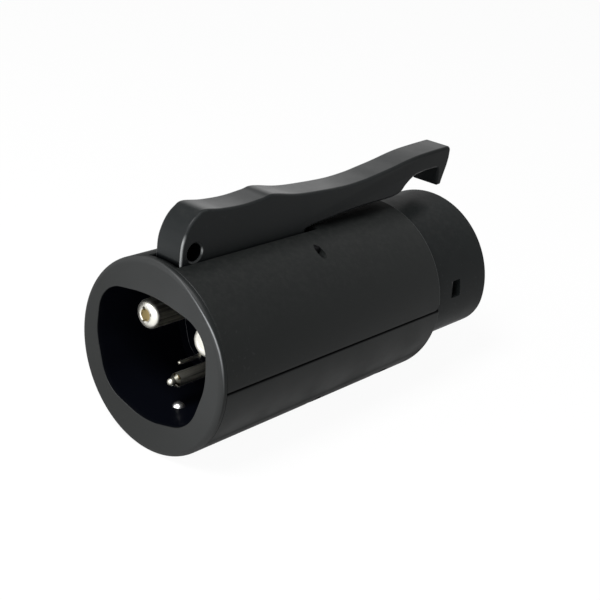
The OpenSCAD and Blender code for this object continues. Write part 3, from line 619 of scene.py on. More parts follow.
class Bench:
    """Adds nodes to one node tree and links them."""

    def __init__(self, tree: bpy.types.NodeTree) -> None:
        """Keeps the tree that the nodes go into."""
        self.tree = tree

    def node(self, kind: str, **settings: object) -> bpy.types.Node:
        """Adds a node and sets its properties.

        Args:
            kind: Node type, without its ShaderNode prefix where it has one.
            settings: Properties by name.

        Returns:
            The node.
        """
        made = self.tree.nodes.new(kind if kind.startswith("Node") else f"ShaderNode{kind}")
        for key, value in settings.items():
            setattr(made, key, value)
        return made

    def link(self, source: bpy.types.NodeSocket, target: bpy.types.NodeSocket) -> None:
        """Links an output to an input."""
        self.tree.links.new(source, target)

    def feed(self, target: bpy.types.NodeSocket, value: object) -> None:
        """Links an output to an input, or sets the input's plain value.

        Args:
            target: The input.
            value: An output, a plain value, or None to leave the input alone.
        """
        if isinstance(value, bpy.types.NodeSocket):
            self.link(value, target)
        elif value is not None:
            target.default_value = value

    def math(self, operation: str, a: object, b: object = None, clamp: bool = False) -> bpy.types.NodeSocket:
        """Adds a Math node.

        Args:
            operation: Its operation.
            a: First value or socket.
            b: Second value or socket.
            clamp: Whether the result is kept between 0 and 1.

        Returns:
            The node's output.
        """
        made = self.node("Math", operation=operation, use_clamp=clamp)
        self.feed(made.inputs[0], a)
        self.feed(made.inputs[1], b)
        return made.outputs[0]

    def noise(self, vector: object, scale: object, detail: float = 2.0,
              roughness: float = 0.5) -> bpy.types.NodeSocket:
        """Adds a Noise Texture.

        Args:
            vector: Coordinates that it reads.
            scale: Its scale.
            detail: Its octaves.
            roughness: Share of the finer octaves.

        Returns:
            Its value, from 0 to 1.
        """
        made = self.node("TexNoise")
        self.feed(made.inputs["Vector"], vector)
        self.feed(made.inputs["Scale"], scale)
        made.inputs["Detail"].default_value = detail
        made.inputs["Roughness"].default_value = roughness
        return made.outputs[0]

    def attribute(self, name: str) -> bpy.types.NodeSocket:
        """Reads a value that the mesh stores at its points; it is 0 where the mesh has none."""
        return self.node("Attribute", attribute_name=name).outputs["Fac"]

    def span(self, value: object, low: object, high: object, out_low: object = 0.0,
             out_high: object = 1.0) -> bpy.types.NodeSocket:
        """Maps a value from one range to another, kept inside the second.

        Args:
            value: Value to map.
            low: Value that gives out_low.
            high: Value that gives out_high.
            out_low: First end of the result.
            out_high: Second end of the result.

        Returns:
            The mapped value.
        """
        made = self.node("MapRange", clamp=True)
        for socket, given in zip(made.inputs, (value, low, high, out_low, out_high)):
            self.feed(socket, given)
        return made.outputs[0]

    def blend(self, factor: object, a: object, b: object) -> bpy.types.NodeSocket:
        """Mixes two colours.

        Args:
            factor: Share of the second colour.
            a: First colour or socket.
            b: Second colour or socket.

        Returns:
            The mixed colour.
        """
        made = self.node("Mix", data_type="RGBA")
        self.feed(made.inputs["Factor"], factor)
        self.feed(made.inputs[6], (*a, 1.0) if isinstance(a, tuple) else a)
        self.feed(made.inputs[7], (*b, 1.0) if isinstance(b, tuple) else b)
        return made.outputs[2]


class Effect(Enum):
    """Shader groups that several materials share."""

    GRAIN = "moulded_grain"
    WEAR = "handling_marks"
    DUST = "settled_dust"
    RINGS = "turning_rings"


def group_sockets(tree: bpy.types.NodeTree, inputs: Sequence[tuple[str, str]],
                  outputs: Sequence[str]) -> tuple[bpy.types.Node, bpy.types.Node]:
    """Declares a group's sockets and adds its two end nodes.

    Args:
        tree: The group.
        inputs: Name and socket kind of each input.
        outputs: Name of each output, all plain values.

    Returns:
        The group's input node and output node.
    """
    for name, kind in inputs:
        tree.interface.new_socket(name, in_out="INPUT", socket_type=f"NodeSocket{kind}")
    for name in outputs:
        tree.interface.new_socket(name, in_out="OUTPUT", socket_type="NodeSocketFloat")
    return tree.nodes.new("NodeGroupInput"), tree.nodes.new("NodeGroupOutput")


def build_grain(tree: bpy.types.NodeTree) -> None:
    """Moulded surface: Height is 0.6 fine noise + 0.4 pits, Mottle is slow noise, both from 0 to 1.

    Args:
        tree: The group to fill.
    """
    start, end = group_sockets(
        tree, [("Vector", "Vector"), ("Scale", "Float"), ("Mottle Scale", "Float")], ["Height", "Mottle"])
    bench = Bench(tree)
    fine = bench.noise(start.outputs["Vector"], start.outputs["Scale"], 3.0, 0.6)
    pits = bench.node("TexVoronoi", feature="F1")
    bench.link(start.outputs["Vector"], pits.inputs["Vector"])
    bench.link(bench.math("MULTIPLY", start.outputs["Scale"], 0.55), pits.inputs["Scale"])
    height = bench.math("ADD", bench.math("MULTIPLY", fine, 0.6),
                        bench.math("MULTIPLY", pits.outputs[0], 0.4))
    slow = bench.noise(start.outputs["Vector"], start.outputs["Mottle Scale"], 4.0, 0.55)
    bench.link(height, end.inputs["Height"])
    bench.link(bench.span(slow, 0.3, 0.7), end.inputs["Mottle"])


def build_wear(tree: bpy.types.NodeTree) -> None:
    """Fine scratches: noise drawn out along Y, kept above a threshold, and only inside slow patches.

    Args:
        tree: The group to fill.
    """
    start, end = group_sockets(
        tree, [("Vector", "Vector"), ("Scale", "Float"), ("Amount", "Float")], ["Mask"])
    bench = Bench(tree)
    drawn = bench.node("Mapping")
    drawn.inputs["Scale"].default_value = (1.0, 0.06, 1.0)
    drawn.inputs["Rotation"].default_value = (0.3, 0.2, 0.5)
    bench.link(start.outputs["Vector"], drawn.inputs["Vector"])
    lines = bench.span(bench.noise(drawn.outputs[0], start.outputs["Scale"], 2.0, 0.6), 0.64, 0.72)
    slow = bench.math("MULTIPLY", start.outputs["Scale"], 0.03)
    patches = bench.span(bench.noise(start.outputs["Vector"], slow, 2.0), 0.5, 0.7)
    mask = bench.math("MULTIPLY", bench.math("MULTIPLY", lines, patches), start.outputs["Amount"], clamp=True)
    bench.link(mask, end.inputs["Mask"])


def build_dust(tree: bpy.types.NodeTree) -> None:
    """Dust on faces that look up: the normal's Z above 0.4, times broken noise, times Amount.

    Args:
        tree: The group to fill.
    """
    start, end = group_sockets(
        tree, [("Vector", "Vector"), ("Scale", "Float"), ("Amount", "Float")], ["Mask"])
    bench = Bench(tree)
    geometry = bench.node("NewGeometry")
    parts = bench.node("SeparateXYZ")
    bench.link(geometry.outputs["Normal"], parts.inputs[0])
    facing = bench.span(parts.outputs["Z"], 0.4, 1.0)
    specks = bench.span(bench.noise(start.outputs["Vector"], start.outputs["Scale"], 4.0, 0.65), 0.42, 0.75)
    mask = bench.math("MULTIPLY", bench.math("MULTIPLY", facing, specks), start.outputs["Amount"], clamp=True)
    bench.link(mask, end.inputs["Mask"])


def build_rings(tree: bpy.types.NodeTree) -> None:
    """Marks of turning: bands across X with a little noise, from 0 to 1.

    Args:
        tree: The group to fill.
    """
    start, end = group_sockets(
        tree, [("Vector", "Vector"), ("Scale", "Float"), ("Wander", "Float")], ["Height"])
    bench = Bench(tree)
    wave = bench.node("TexWave", wave_type="BANDS", bands_direction="X", wave_profile="SIN")
    bench.link(start.outputs["Vector"], wave.inputs["Vector"])
    bench.link(start.outputs["Scale"], wave.inputs["Scale"])
    bench.link(start.outputs["Wander"], wave.inputs["Distortion"])
    bench.link(wave.outputs["Fac"], end.inputs["Height"])


EFFECT_BUILDERS: dict[Effect, Callable[[bpy.types.NodeTree], None]] = {
    Effect.GRAIN: build_grain,
    Effect.WEAR: build_wear,
    Effect.DUST: build_dust,
    Effect.RINGS: build_rings,
}


def effect(bench: Bench, kind: Effect, vector: object, **values: float) -> bpy.types.Node:
    """Places a shared shader group in a material.

    Args:
        bench: The material's bench.
        kind: Which group.
        vector: Coordinates that it reads.
        values: Its own values by socket name, with underscores for spaces.

    Returns:
        The group's node.
    """
    tree = bpy.data.node_groups.get(kind.value)
    if tree is None:
        tree = bpy.data.node_groups.new(kind.value, "ShaderNodeTree")
        EFFECT_BUILDERS[kind](tree)
    made = bench.node("Group", node_tree=tree)
    bench.feed(made.inputs["Vector"], vector)
    for key, value in values.items():
        made.inputs[key.replace("_", " ")].default_value = value
    return made


def start_material(name: str) -> tuple[bpy.types.Material, Bench, bpy.types.Node, bpy.types.NodeSocket]:
    """Makes a material with its shader and object coordinates.

    Args:
        name: Name of the material.

    Returns:
        The material, its bench, its Principled BSDF and the object coordinates.
    """
    material = bpy.data.materials.new(name)
    material.use_nodes = True
    bench = Bench(material.node_tree)
    shader = material.node_tree.nodes["Principled BSDF"]
    where = bench.node("TexCoord")
    return material, bench, shader, where.outputs["Object"]


def finish_surface(bench: Bench, shader: bpy.types.Node, colour: object, rough: object, height: object,
                   depth: float, strength: float = 1.0) -> None:
    """Links a finish's colour, roughness and bump to its shader.

    Args:
        bench: The material's bench.
        shader: Its Principled BSDF.
        colour: Base colour.
        rough: Roughness.
        height: Height of the relief, from 0 to 1.
        depth: Depth of the relief in millimetres.
        strength: Strength of the bump.
    """
    bump = bench.node("Bump")
    bump.inputs["Distance"].default_value = depth * MM
    bump.inputs["Strength"].default_value = strength
    bench.link(height, bump.inputs["Height"])
    bench.link(colour, shader.inputs["Base Color"])
    bench.link(rough, shader.inputs["Roughness"])
    bench.link(bump.outputs[0], shader.inputs["Normal"])


@dataclass(frozen=True)
class PlasticFinish:
    """Moulded plastic: slow mottle in colour and gloss, fine grain, fine scratches and a breath of dust.

    The marks worn and inside blend in a painted highlight tone and a painted shade tone, and the rim's edge
    mark a darker edge tone that also paints the shade of a gap, where a finish has them. Seen at a low angle
    the shine is graze times as strong, and under the painted shade it is scaled by that shade's own shine
    share.
    """

    name: str
    tone: Tone
    light_tone: Tone
    roughness: float = 0.5
    gloss_swing: float = 0.06
    specular: float = 0.3
    grain_scale: float = 3200.0
    grain_depth: float = 0.010
    mottle_scale: float = 90.0
    wear: float = 0.25
    wear_scale: float = 900.0
    wear_gloss: float = 0.12
    dust: float = 0.015
    dust_scale: float = 700.0
    dust_tone: Tone = (0.42, 0.41, 0.39)
    graze: float = 1.0
    # The last four paint light and shade: the shine share and tone of painted shade, a darker edge tone that
    # also paints the shade of a gap, and a painted highlight tone
    painted_shade_shine: float = 0.08
    painted_shade_tone: Tone | None = None
    edge_and_shade_tone: Tone | None = None
    painted_highlight_tone: Tone | None = None

    def colour(self, bench: Bench, mottle: object, scratches: object, dust: object) -> bpy.types.NodeSocket:
        """Blends the tones, from the mottle up to the marks.

        Args:
            bench: The material's bench.
            mottle: Slow noise.
            scratches: Mask of the scratches.
            dust: Mask of the dust.

        Returns:
            The colour.
        """
        colour = bench.blend(mottle, self.tone, self.light_tone)
        scratched = tuple(min(1.0, c * 2.2 + 0.02) for c in self.light_tone)
        colour = bench.blend(scratches, colour, scratched)
        colour = bench.blend(dust, colour, self.dust_tone)
        # A darker tone on the rim's rounding, with painted shade of the gap outside it
        if self.edge_and_shade_tone is not None:
            colour = bench.blend(bench.attribute("dark_edge_and_shade"), colour, self.edge_and_shade_tone)
        # Painted highlight where the worn mark lies
        if self.painted_highlight_tone is not None:
            uneven = bench.span(mottle, 0.0, 1.0, 0.8, 1.0)
            worn = bench.math("MULTIPLY", bench.attribute("worn"), uneven)
            colour = bench.blend(worn, colour, self.painted_highlight_tone)
        # Painted shade where the inside mark lies
        if self.painted_shade_tone is not None:
            colour = bench.blend(bench.attribute("inside"), colour, self.painted_shade_tone)
        return colour

    def shine(self, bench: Bench, shader: bpy.types.Node) -> None:
        """Sets the specular level, which varies over the surface with the graze and the painted shade.

        Args:
            bench: The material's bench.
            shader: Its Principled BSDF.
        """
        level = shader.inputs["Specular IOR Level"]
        level.default_value = self.specular
        if self.graze == 1.0 and self.painted_shade_tone is None:
            return
        facing = bench.node("LayerWeight").outputs["Facing"]
        shine = bench.span(facing, 0.45, 0.8, self.specular, self.specular * self.graze)
        # Less shine under the painted shade
        if self.painted_shade_tone is not None:
            shine = bench.math("MULTIPLY", shine,
                               bench.span(bench.attribute("inside"), 0.0, 1.0, 1.0, self.painted_shade_shine))
        bench.link(shine, level)

    def material(self) -> bpy.types.Material:
        """Builds the material.

        Returns:
            The new material.
        """
        material, bench, shader, where = start_material(self.name)
        grain = effect(bench, Effect.GRAIN, where, Scale=self.grain_scale, Mottle_Scale=self.mottle_scale)
        wear = effect(bench, Effect.WEAR, where, Scale=self.wear_scale, Amount=self.wear)
        dust = effect(bench, Effect.DUST, where, Scale=self.dust_scale, Amount=self.dust)
        mottle, scratches = grain.outputs["Mottle"], wear.outputs["Mask"]
        colour = self.colour(bench, mottle, scratches, dust.outputs["Mask"])
        self.shine(bench, shader)
        rough = bench.span(mottle, 0.0, 1.0, self.roughness - self.gloss_swing,
                           self.roughness + self.gloss_swing)
        polished = bench.math("MULTIPLY", scratches, self.wear_gloss)
        rough = bench.math("SUBTRACT", rough, polished, clamp=True)
        finish_surface(bench, shader, colour, rough, grain.outputs["Height"], self.grain_depth, 0.8)
        return material


@dataclass(frozen=True)
class MetalFinish:
    """Turned or drawn metal: rings of the tool, tarnish in slow patches and scratches.

    With a bare tone it is plated: the plating has streaks along X, the marks clean and bare blend in whole
    plating and the metal below it, a third mark blends in a much darker tone, and the mark scuff lets pits
    show.
    """

    name: str
    tone: Tone
    tarnish: Tone
    roughness: float = 0.28
    ring_scale: float = 900.0
    ring_depth: float = 0.004
    grain_scale: float = 2400.0
    tarnish_scale: float = 160.0
    wear: float = 0.5
    wear_scale: float = 1400.0
    wear_rough: float = 0.15
    streak_scale: float = 1500.0
    pit_scale: float = 1100.0
    bare_tone: Tone | None = None

    def plating(self, bench: Bench, where: object, colour: object) -> bpy.types.NodeSocket:
        """Adds the streaks, marks and pits of worn plating.

        Args:
            bench: The material's bench.
            where: Object coordinates.
            colour: Colour without them.

        Returns:
            The colour with them.
        """
        drawn = bench.node("Mapping")
        drawn.inputs["Scale"].default_value = (0.03, 1.0, 1.0)
        bench.link(where, drawn.inputs["Vector"])
        streak = bench.span(bench.noise(drawn.outputs[0], self.streak_scale, 3.0, 0.65), 0.40, 0.62)
        streak = bench.math("MULTIPLY", streak, 0.8)
        colour = bench.blend(streak, colour, tuple(c * 0.42 for c in self.tarnish))
        for name, tone in (
            ("clean", tuple(min(1.0, c * 1.1) for c in self.tone)),
            ("bare", self.bare_tone),
            ("darkened", tuple(c * 0.25 for c in self.tarnish)),
        ):
            colour = bench.blend(bench.attribute(name), colour, tone)
        pits = bench.span(bench.noise(where, self.pit_scale, 1.0), 0.56, 0.62)
        pits = bench.math("MULTIPLY", pits, bench.span(bench.attribute("scuff"), 0.2, 0.7))
        return bench.blend(pits, colour, tuple(c * 0.12 for c in self.bare_tone))

    def material(self) -> bpy.types.Material:
        """Builds the material.

        Returns:
            The new material.
        """
        material, bench, shader, where = start_material(self.name)
        grain = effect(bench, Effect.GRAIN, where, Scale=self.grain_scale, Mottle_Scale=self.tarnish_scale)
        rings = effect(bench, Effect.RINGS, where, Scale=self.ring_scale, Wander=1.5)
        wear = effect(bench, Effect.WEAR, where, Scale=self.wear_scale, Amount=self.wear)
        mottle = grain.outputs["Mottle"]
        colour = bench.blend(mottle, self.tone, self.tarnish)
        if self.bare_tone is not None:
            colour = self.plating(bench, where, colour)
        rough = bench.span(mottle, 0.0, 1.0, self.roughness - 0.06, self.roughness + 0.08)
        scratched = bench.math("MULTIPLY", wear.outputs["Mask"], self.wear_rough)
        rough = bench.math("ADD", rough, scratched, clamp=True)
        height = bench.math("ADD", bench.math("MULTIPLY", rings.outputs["Height"], 0.7),
                            bench.math("MULTIPLY", grain.outputs["Height"], 0.3))
        finish_surface(bench, shader, colour, rough, height, self.ring_depth)
        shader.inputs["Metallic"].default_value = 1.0
        return material


@dataclass(frozen=True)
class BoardFinish:
    """Lacquered board: green fields with a grid of lighter tracks under the lacquer."""

    name: str
    tone: Tone
    track: Tone
    pitch: float = 2.54
    line_share: float = 0.06
    relief: float = 0.02

    def material(self) -> bpy.types.Material:
        """Builds the material.

        Returns:
            The new material.
        """
        material, bench, shader, where = start_material(self.name)
        grain = effect(bench, Effect.GRAIN, where, Scale=1800.0, Mottle_Scale=120.0)
        tracks = bench.node("TexBrick")
        bench.link(where, tracks.inputs["Vector"])
        tracks.inputs["Scale"].default_value = 1.0 / (self.pitch * MM)
        tracks.inputs["Mortar Size"].default_value = self.line_share
        line = bench.math("SUBTRACT", 1.0, tracks.outputs["Fac"])
        field_tone = bench.blend(grain.outputs["Mottle"], self.tone, tuple(c * 1.25 for c in self.tone))
        colour = bench.blend(line, self.track, field_tone)
        rough = bench.span(grain.outputs["Mottle"], 0.0, 1.0, 0.25, 0.38)
        height = bench.math("ADD", tracks.outputs["Fac"], grain.outputs["Height"])
        finish_surface(bench, shader, colour, rough, height, self.relief)
        return material


@dataclass
class FinishBook:
    """Every finish of the adapter, built once and handed out by name."""

    made: dict[str, bpy.types.Material] = field(default_factory=dict)

    def __post_init__(self) -> None:
        """Builds all finishes."""
        finishes = [*self.outer_plastics(), *self.inner_plastics(), *self.metals(),
                    BoardFinish("green_board", (0.02, 0.12, 0.05), (0.06, 0.24, 0.10))]
        self.made = {finish.name: finish.material() for finish in finishes}

    @staticmethod
    def outer_plastics() -> list[PlasticFinish]:
        """The black mouldings that show from outside.

        Returns:
            The finishes.
        """
        return [
            # In the first three, the near-black tone is painted shade, the rim's darker edge tone also paints
            # the shade of a gap, and the pale last tone is a painted highlight
            PlasticFinish(
                "body_plastic", (0.0062, 0.0071, 0.0070), (0.0073, 0.0083, 0.0081), roughness=0.40,
                specular=0.10, graze=0.05, painted_shade_tone=(0.0008, 0.0009, 0.0010),
                painted_highlight_tone=(0.085, 0.092, 0.092)),
            PlasticFinish(
                "rim_plastic", (0.0076, 0.0083, 0.0079), (0.0087, 0.0094, 0.0090), roughness=0.46,
                specular=0.15, graze=0.1, grain_scale=2600.0, wear=0.15, painted_shade_tone=(0.0014, 0.0017, 0.0030),
                edge_and_shade_tone=(0.0040, 0.0050, 0.0050), painted_highlight_tone=(0.27, 0.28, 0.29)),
            PlasticFinish(
                "lever_plastic", (0.0080, 0.0091, 0.0095), (0.0092, 0.0105, 0.0109), roughness=0.34,
                specular=0.07, graze=4.2, wear=0.3, painted_shade_tone=(0.0008, 0.0010, 0.0012),
                painted_highlight_tone=(0.30, 0.31, 0.31)),
            PlasticFinish(
                "nose_plastic", (0.0057, 0.0068, 0.0070), (0.0070, 0.0083, 0.0085), roughness=0.36,
                specular=0.05, graze=0.2),
            PlasticFinish(
                "carrier_plastic", (0.006, 0.0065, 0.007), (0.008, 0.0085, 0.009), roughness=0.5,
                specular=0.25),
        ]

    @staticmethod
    def inner_plastics() -> list[PlasticFinish]:
        """The switch, the board's components, the leads' jackets and the rubber.

        Returns:
            The finishes.
        """
        return [
            PlasticFinish("switch_plastic", (0.05, 0.05, 0.055), (0.06, 0.06, 0.065), roughness=0.4),
            PlasticFinish("button_plastic", (0.55, 0.04, 0.03), (0.62, 0.06, 0.04), roughness=0.3,
                          specular=0.5),
            PlasticFinish("component_body", (0.42, 0.33, 0.18), (0.52, 0.42, 0.25), roughness=0.4,
                          specular=0.5),
            PlasticFinish("lead_jacket", (0.62, 0.2, 0.03), (0.7, 0.25, 0.05), roughness=0.35, specular=0.5,
                          grain_scale=1500.0),
            PlasticFinish("seal_rubber", (0.018, 0.018, 0.018), (0.026, 0.026, 0.026), roughness=0.75,
                          specular=0.25, grain_depth=0.02),
        ]

    @staticmethod
    def metals() -> list[MetalFinish]:
        """The pins, contacts, links, screws and springs, and the detent's ball and plug.

        Returns:
            The finishes.
        """
        return [
            MetalFinish("plated_pin", (0.86, 0.85, 0.78), (0.66, 0.64, 0.54), roughness=0.40,
                        bare_tone=(0.40, 0.31, 0.14)),
            MetalFinish("plated_contact", (0.74, 0.72, 0.66), (0.58, 0.55, 0.48)),
            MetalFinish("bare_copper", (0.72, 0.38, 0.24), (0.50, 0.25, 0.16), roughness=0.35,
                        ring_scale=500.0),
            MetalFinish("plug_brass", (0.72, 0.58, 0.28), (0.55, 0.42, 0.2), roughness=0.35),
            MetalFinish("zinc_steel", (0.52, 0.53, 0.55), (0.40, 0.40, 0.42), roughness=0.32),
            MetalFinish("blackened_steel", (0.012, 0.012, 0.013), (0.008, 0.008, 0.009), roughness=0.5),
            MetalFinish("polished_ball", (0.80, 0.80, 0.80), (0.72, 0.72, 0.72), roughness=0.27,
                        ring_depth=0.0005, wear=0.1),
        ]

    def dress(self, piece: bpy.types.Object, name: str) -> None:
        """Gives a piece one finish in place of what it has."""
        piece.data.materials.clear()
        piece.data.materials.append(self.made[name])


def place(piece: bpy.types.Object, book: FinishBook, finish: str, slot: str, body: str, *nodes: str) -> None:
    """Finishes a piece, fixes it to a body and lets it stand for CAD nodes.

    Args:
        piece: The piece.
        book: The finishes.
        finish: Name of its finish.
        slot: Name of a material slot; not used.
        body: Body that it rides on.
        nodes: CAD nodes that it stands for.
    """
    book.dress(piece, finish)
    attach(piece, body)
    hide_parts(*nodes)
    LOG.info("built %s, %d faces", piece.name, len(piece.data.polygons))


# Sub-assemblies


@dataclass
class RoundBody:
    """The two shells of the round body, with the lever's slot and the screw wells."""

    radius: float = BODY_RADIUS
    rear_x: float = -79.9
    rear_break: float = 0.15
    wall: float = 2.4
    front_wall: float = 2.4
    front_round: float = 0.5
    groove: float = 0.32
    flange_groove: tuple[float, float, float] = (-6.1, -2.4, 22.7)
    nose_gap: float = 0.15
    slot_x: tuple[float, float] = (SLOT_REAR_X, -31.5)
    slot_low_z: float = 15.0
    slot_edge: float = 0.25
    pivot_radius: float = 1.15
    lug_half: float = 3.2
    lug_outer_y: float = 9.5
    lug_z: tuple[float, float] = (-2.6, 0.4)
    screw_x: tuple[float, ...] = (-40.0, -13.2)
    screw_y: float = 15.8
    screw_seat: float = -7.0
    screw_bore: float = 1.35
    well_radius: float = 2.35
    well_flare: float = 0.2
    well_depth: float = 9.6
    well_top: float = 0.6
    boss_wall: float = 1.2
    boss_sink: float = 1.2
    boss_lift: float = 1.5
    room_skin: float = 1.0
    room_end_x: float = -1.2
    notch: float = 2.0
    inner_from: float = 0.5

    # Painted shade and highlight: where each ramp is 0 and where it is 1, and the centre and reach of the
    # painted highlight line on the front edge
    joint_mark: tuple[float, float] = (0.34, 0.22)
    shade_depth: float = 0.8
    shade_side: tuple[float, float] = (6.6, 4.4)
    shade_run: tuple[float, float] = (-34.0, -28.0)
    shade_end_x: float = -0.4
    highlight_from: tuple[float, float] = (95.0, 110.0)
    highlight_to: tuple[float, float] = (190.0, 170.0)
    highlight_line: tuple[float, float] = (-0.25, 0.22)

    nose: NoseSection = field(default_factory=NoseSection)

    def angles(self, half: Half) -> np.ndarray:
        """Angles of the shell's rings, denser beside the joint so that its bevel shows.

        Args:
            half: Which shell.

        Returns:
            Angles in radians over half a turn.
        """
        near = np.radians([0.0, 0.3, 0.62, 1.2])
        middle = np.linspace(math.radians(2.5), math.radians(177.5), 119)
        spread = np.concatenate([near, middle, math.pi - near[::-1]])
        return spread if half is Half.UPPER else spread + math.pi

    def rings(self, a: np.ndarray) -> list[tuple[float, np.ndarray]]:
        """The shell's closed profile: over the outside, the front wall and the flange's groove to the inside.

        The outer radius dips by groove - |z| where |z| is less than the groove's depth, which makes the
        V that shows along the joint.

        Args:
            a: Angles of the points.

        Returns:
            For each ring its place along X and its radius at each angle.
        """
        dip = np.maximum(0.0, self.groove - self.radius * np.abs(np.sin(a)))
        opening = polar_radius(self.nose.outline(-self.nose_gap), a)
        straight = np.linspace(self.rear_x + self.rear_break, -self.front_round, 20)
        corner = arc_points((-self.front_round, self.radius - self.front_round), self.front_round, 90, 0, 6)
        outer = [(self.rear_x, self.radius - self.rear_break), *((x, self.radius) for x in straight),
                 *corner[1:]]
        g0, g1, groove_r = self.flange_groove
        inner = self.radius - self.wall
        inside = [(g1, groove_r), (g0, groove_r), (g0, inner), (self.rear_x, inner)]
        return [*((x, r - dip) for x, r in outer), (0.0, opening), (-self.front_wall, opening),
                *((x, np.full_like(a, r)) for x, r in inside)]

    def shell(self, half: Half) -> bpy.types.Object:
        """Builds one shell: a closed profile of (x, r) carried round half a turn, with flat ends.

        A ring's point at angle a lies at (x, r(a) cos a, r(a) sin a).

        Args:
            half: Which shell.

        Returns:
            The shell, with its cuts made.
        """
        a = self.angles(half)
        rows = [np.stack([np.full_like(a, x), r * np.cos(a), r * np.sin(a)], 1) for x, r in self.rings(a)]
        starts = np.arange(len(rows)) * len(a)
        ends = [starts[None], (starts + len(a) - 1)[None]]
        shell = new_object(f"{half.name.lower()}_shell_moulding", np.concatenate(rows),
                           [grid_faces(len(rows), len(a), wrap_rows=True), *ends])
        if half is Half.UPPER:
            self.cut_slot(shell)
            self.add_lugs(shell)
        else:
            self.cut_wells(shell)
        self.mark_tones(shell)
        smooth_faces(shell)
        return shell

    def slot_shape(self) -> bpy.types.Object:
        """The slot as a solid whose sides flare where they leave the body, for a broken edge.

        Its ends flare a fifth as much as its sides.

        Returns:
            The cutter.
        """
        (x0, x1), half = self.slot_x, SLOT_HALF
        surface = math.sqrt(self.radius**2 - half**2)
        grow = np.array([0.0, 0.0, self.slot_edge + 1.0])
        z = np.array([self.slot_low_z, surface - self.slot_edge, surface + 1.0])
        rear, front = x0 - grow * 0.2, x1 + grow * 0.2
        xs = np.stack([rear, front, front, rear], 1)
        ys = np.stack([-half - grow, -half - grow, half + grow, half + grow], 1)
        points = np.stack([xs, ys, np.broadcast_to(z[:, None], xs.shape)], 2).reshape(-1, 3)
        caps = [np.array([[3, 2, 1, 0]]), np.array([[8, 9, 10, 11]])]
        return new_object("slot_cutter", points, [grid_faces(3, 4, wrap_columns=True), *caps])

    def notch_shape(self, side: Side) -> bpy.types.Object:
        """A small wedge at the front end of the joint.

        Args:
            side: The side that it lies on.

        Returns:
            The cutter.
        """
        n = self.notch
        plan = np.array([[-n, -1.0], [-n, 0.0], [0.0, n], [1.0, n], [1.0, -1.0]])
        reach = side.value * (self.radius - 0.45), side.value * (self.radius + 0.6)
        points = np.concatenate([np.insert(plan, 1, y, axis=1) for y in reach])
        caps = [np.arange(5)[None], np.arange(5, 10)[::-1][None]]
        return new_object("notch_cutter", points, [grid_faces(2, 5, wrap_columns=True), *caps])

    def cut_slot(self, shell: bpy.types.Object) -> None:
        """Cuts the lever's slot, the pivot's hole and the notches at the joint's front end.

        Args:
            shell: The upper shell.
        """
        reach, r = self.radius + 1, self.pivot_radius
        bore = turned("pivot_cutter", [(-reach, 0), (-reach, r), (reach, r), (reach, 0)], PIVOT_AT, 48,
                      Axis.Y)
        carve(shell, self.slot_shape(), bore, *[self.notch_shape(side) for side in Side])

    def add_lugs(self, shell: bpy.types.Object) -> None:
        """Adds the lugs beside the slot that hold the pivot pin.

        Args:
            shell: The upper shell.
        """
        (px, pz), (below, above) = PIVOT_AT, self.lug_z
        lugs = []
        for side in Side:
            y0, y1 = sorted((side.value * SLOT_HALF, side.value * self.lug_outer_y))
            lugs.append(soft_block("lug", (px - self.lug_half, y0, pz + below),
                                   (px + self.lug_half, y1, pz + above), 0.3))
        merge_into(shell, *lugs)

    def cut_wells(self, shell: bpy.types.Object) -> None:
        """Adds the four screw bosses inside and cuts the wells that the screws enter from below.

        Args:
            shell: The lower shell.
        """
        r, seat, bore = self.well_radius, self.screw_seat, self.screw_bore
        boss_r, inside = r + self.boss_wall, self.radius - self.room_skin
        foot = self.boss_lift - math.sqrt((self.radius - self.boss_sink) ** 2 - (self.screw_y - boss_r) ** 2)
        boss_profile = [(foot, 0), (foot, boss_r), (0, boss_r), (0, 0)]
        well_profile = [(-self.radius - 1, 0), (-self.radius - 1, r + self.well_flare),
                        (seat - self.well_depth, r), (seat, r), (seat, bore), (self.well_top, bore),
                        (self.well_top, 0)]
        spots = [(x, side.value * self.screw_y) for x in self.screw_x for side in Side]
        bosses = [turned("boss", boss_profile, spot, 40, Axis.Z) for spot in spots]
        wells = [turned("well", well_profile, spot, 40, Axis.Z) for spot in spots]
        room = turned("room", [(self.rear_x, 0), (self.rear_x, inside), (self.room_end_x, inside),
                               (self.room_end_x, 0)], count=96)
        for boss in bosses:
            combine(boss, Combine.KEEP_WITHIN, room)
        combine(shell, Combine.JOIN, *bosses)
        discard(room, *bosses)
        carve(shell, *wells)

    def mark_tones(self, shell: bpy.types.Object) -> None:
        """Marks painted shade on the inside, in the joint's groove, below the lever and at the slot's front
        end, and a painted highlight on the front edge.

        Args:
            shell: Either shell, with its cuts made.
        """
        x, y, z = positions(shell)
        r, around = np.hypot(y, z), angle_round(y, z)
        joint = ramp(np.abs(z), *self.joint_mark)
        shade = self.shade_depth * ramp(np.abs(y), *self.shade_side) * ramp(x, *self.shade_run)
        shade *= (z > 0) & (x < self.shade_end_x)
        slot_front = (np.abs(x - self.slot_x[0]) < 0.2) & (np.abs(y) < SLOT_HALF) & (z > 0)
        outside = np.maximum(np.maximum(joint, shade), slot_front)
        # Painted shade: the inside, the joint's groove, below the lever and at the slot's front end
        mark(shell, "inside", np.where(r < self.radius - self.inner_from, 1.0, outside))
        # Painted highlight along the front edge's rounding, over one span of angles
        painted_light = ramp(around, *self.highlight_from) * ramp(around, *self.highlight_to)
        mark(shell, "worn", painted_light * peak(x, *self.highlight_line) * (r > self.radius - 0.45))

    def build(self, book: FinishBook) -> None:
        """Builds both shells and places them.

        Args:
            book: The finishes.
        """
        for half in Half:
            node = f"{half.name.lower()}_shell"
            place(self.shell(half), book, "body_plastic", "body_plastic", "adapter_body", node)


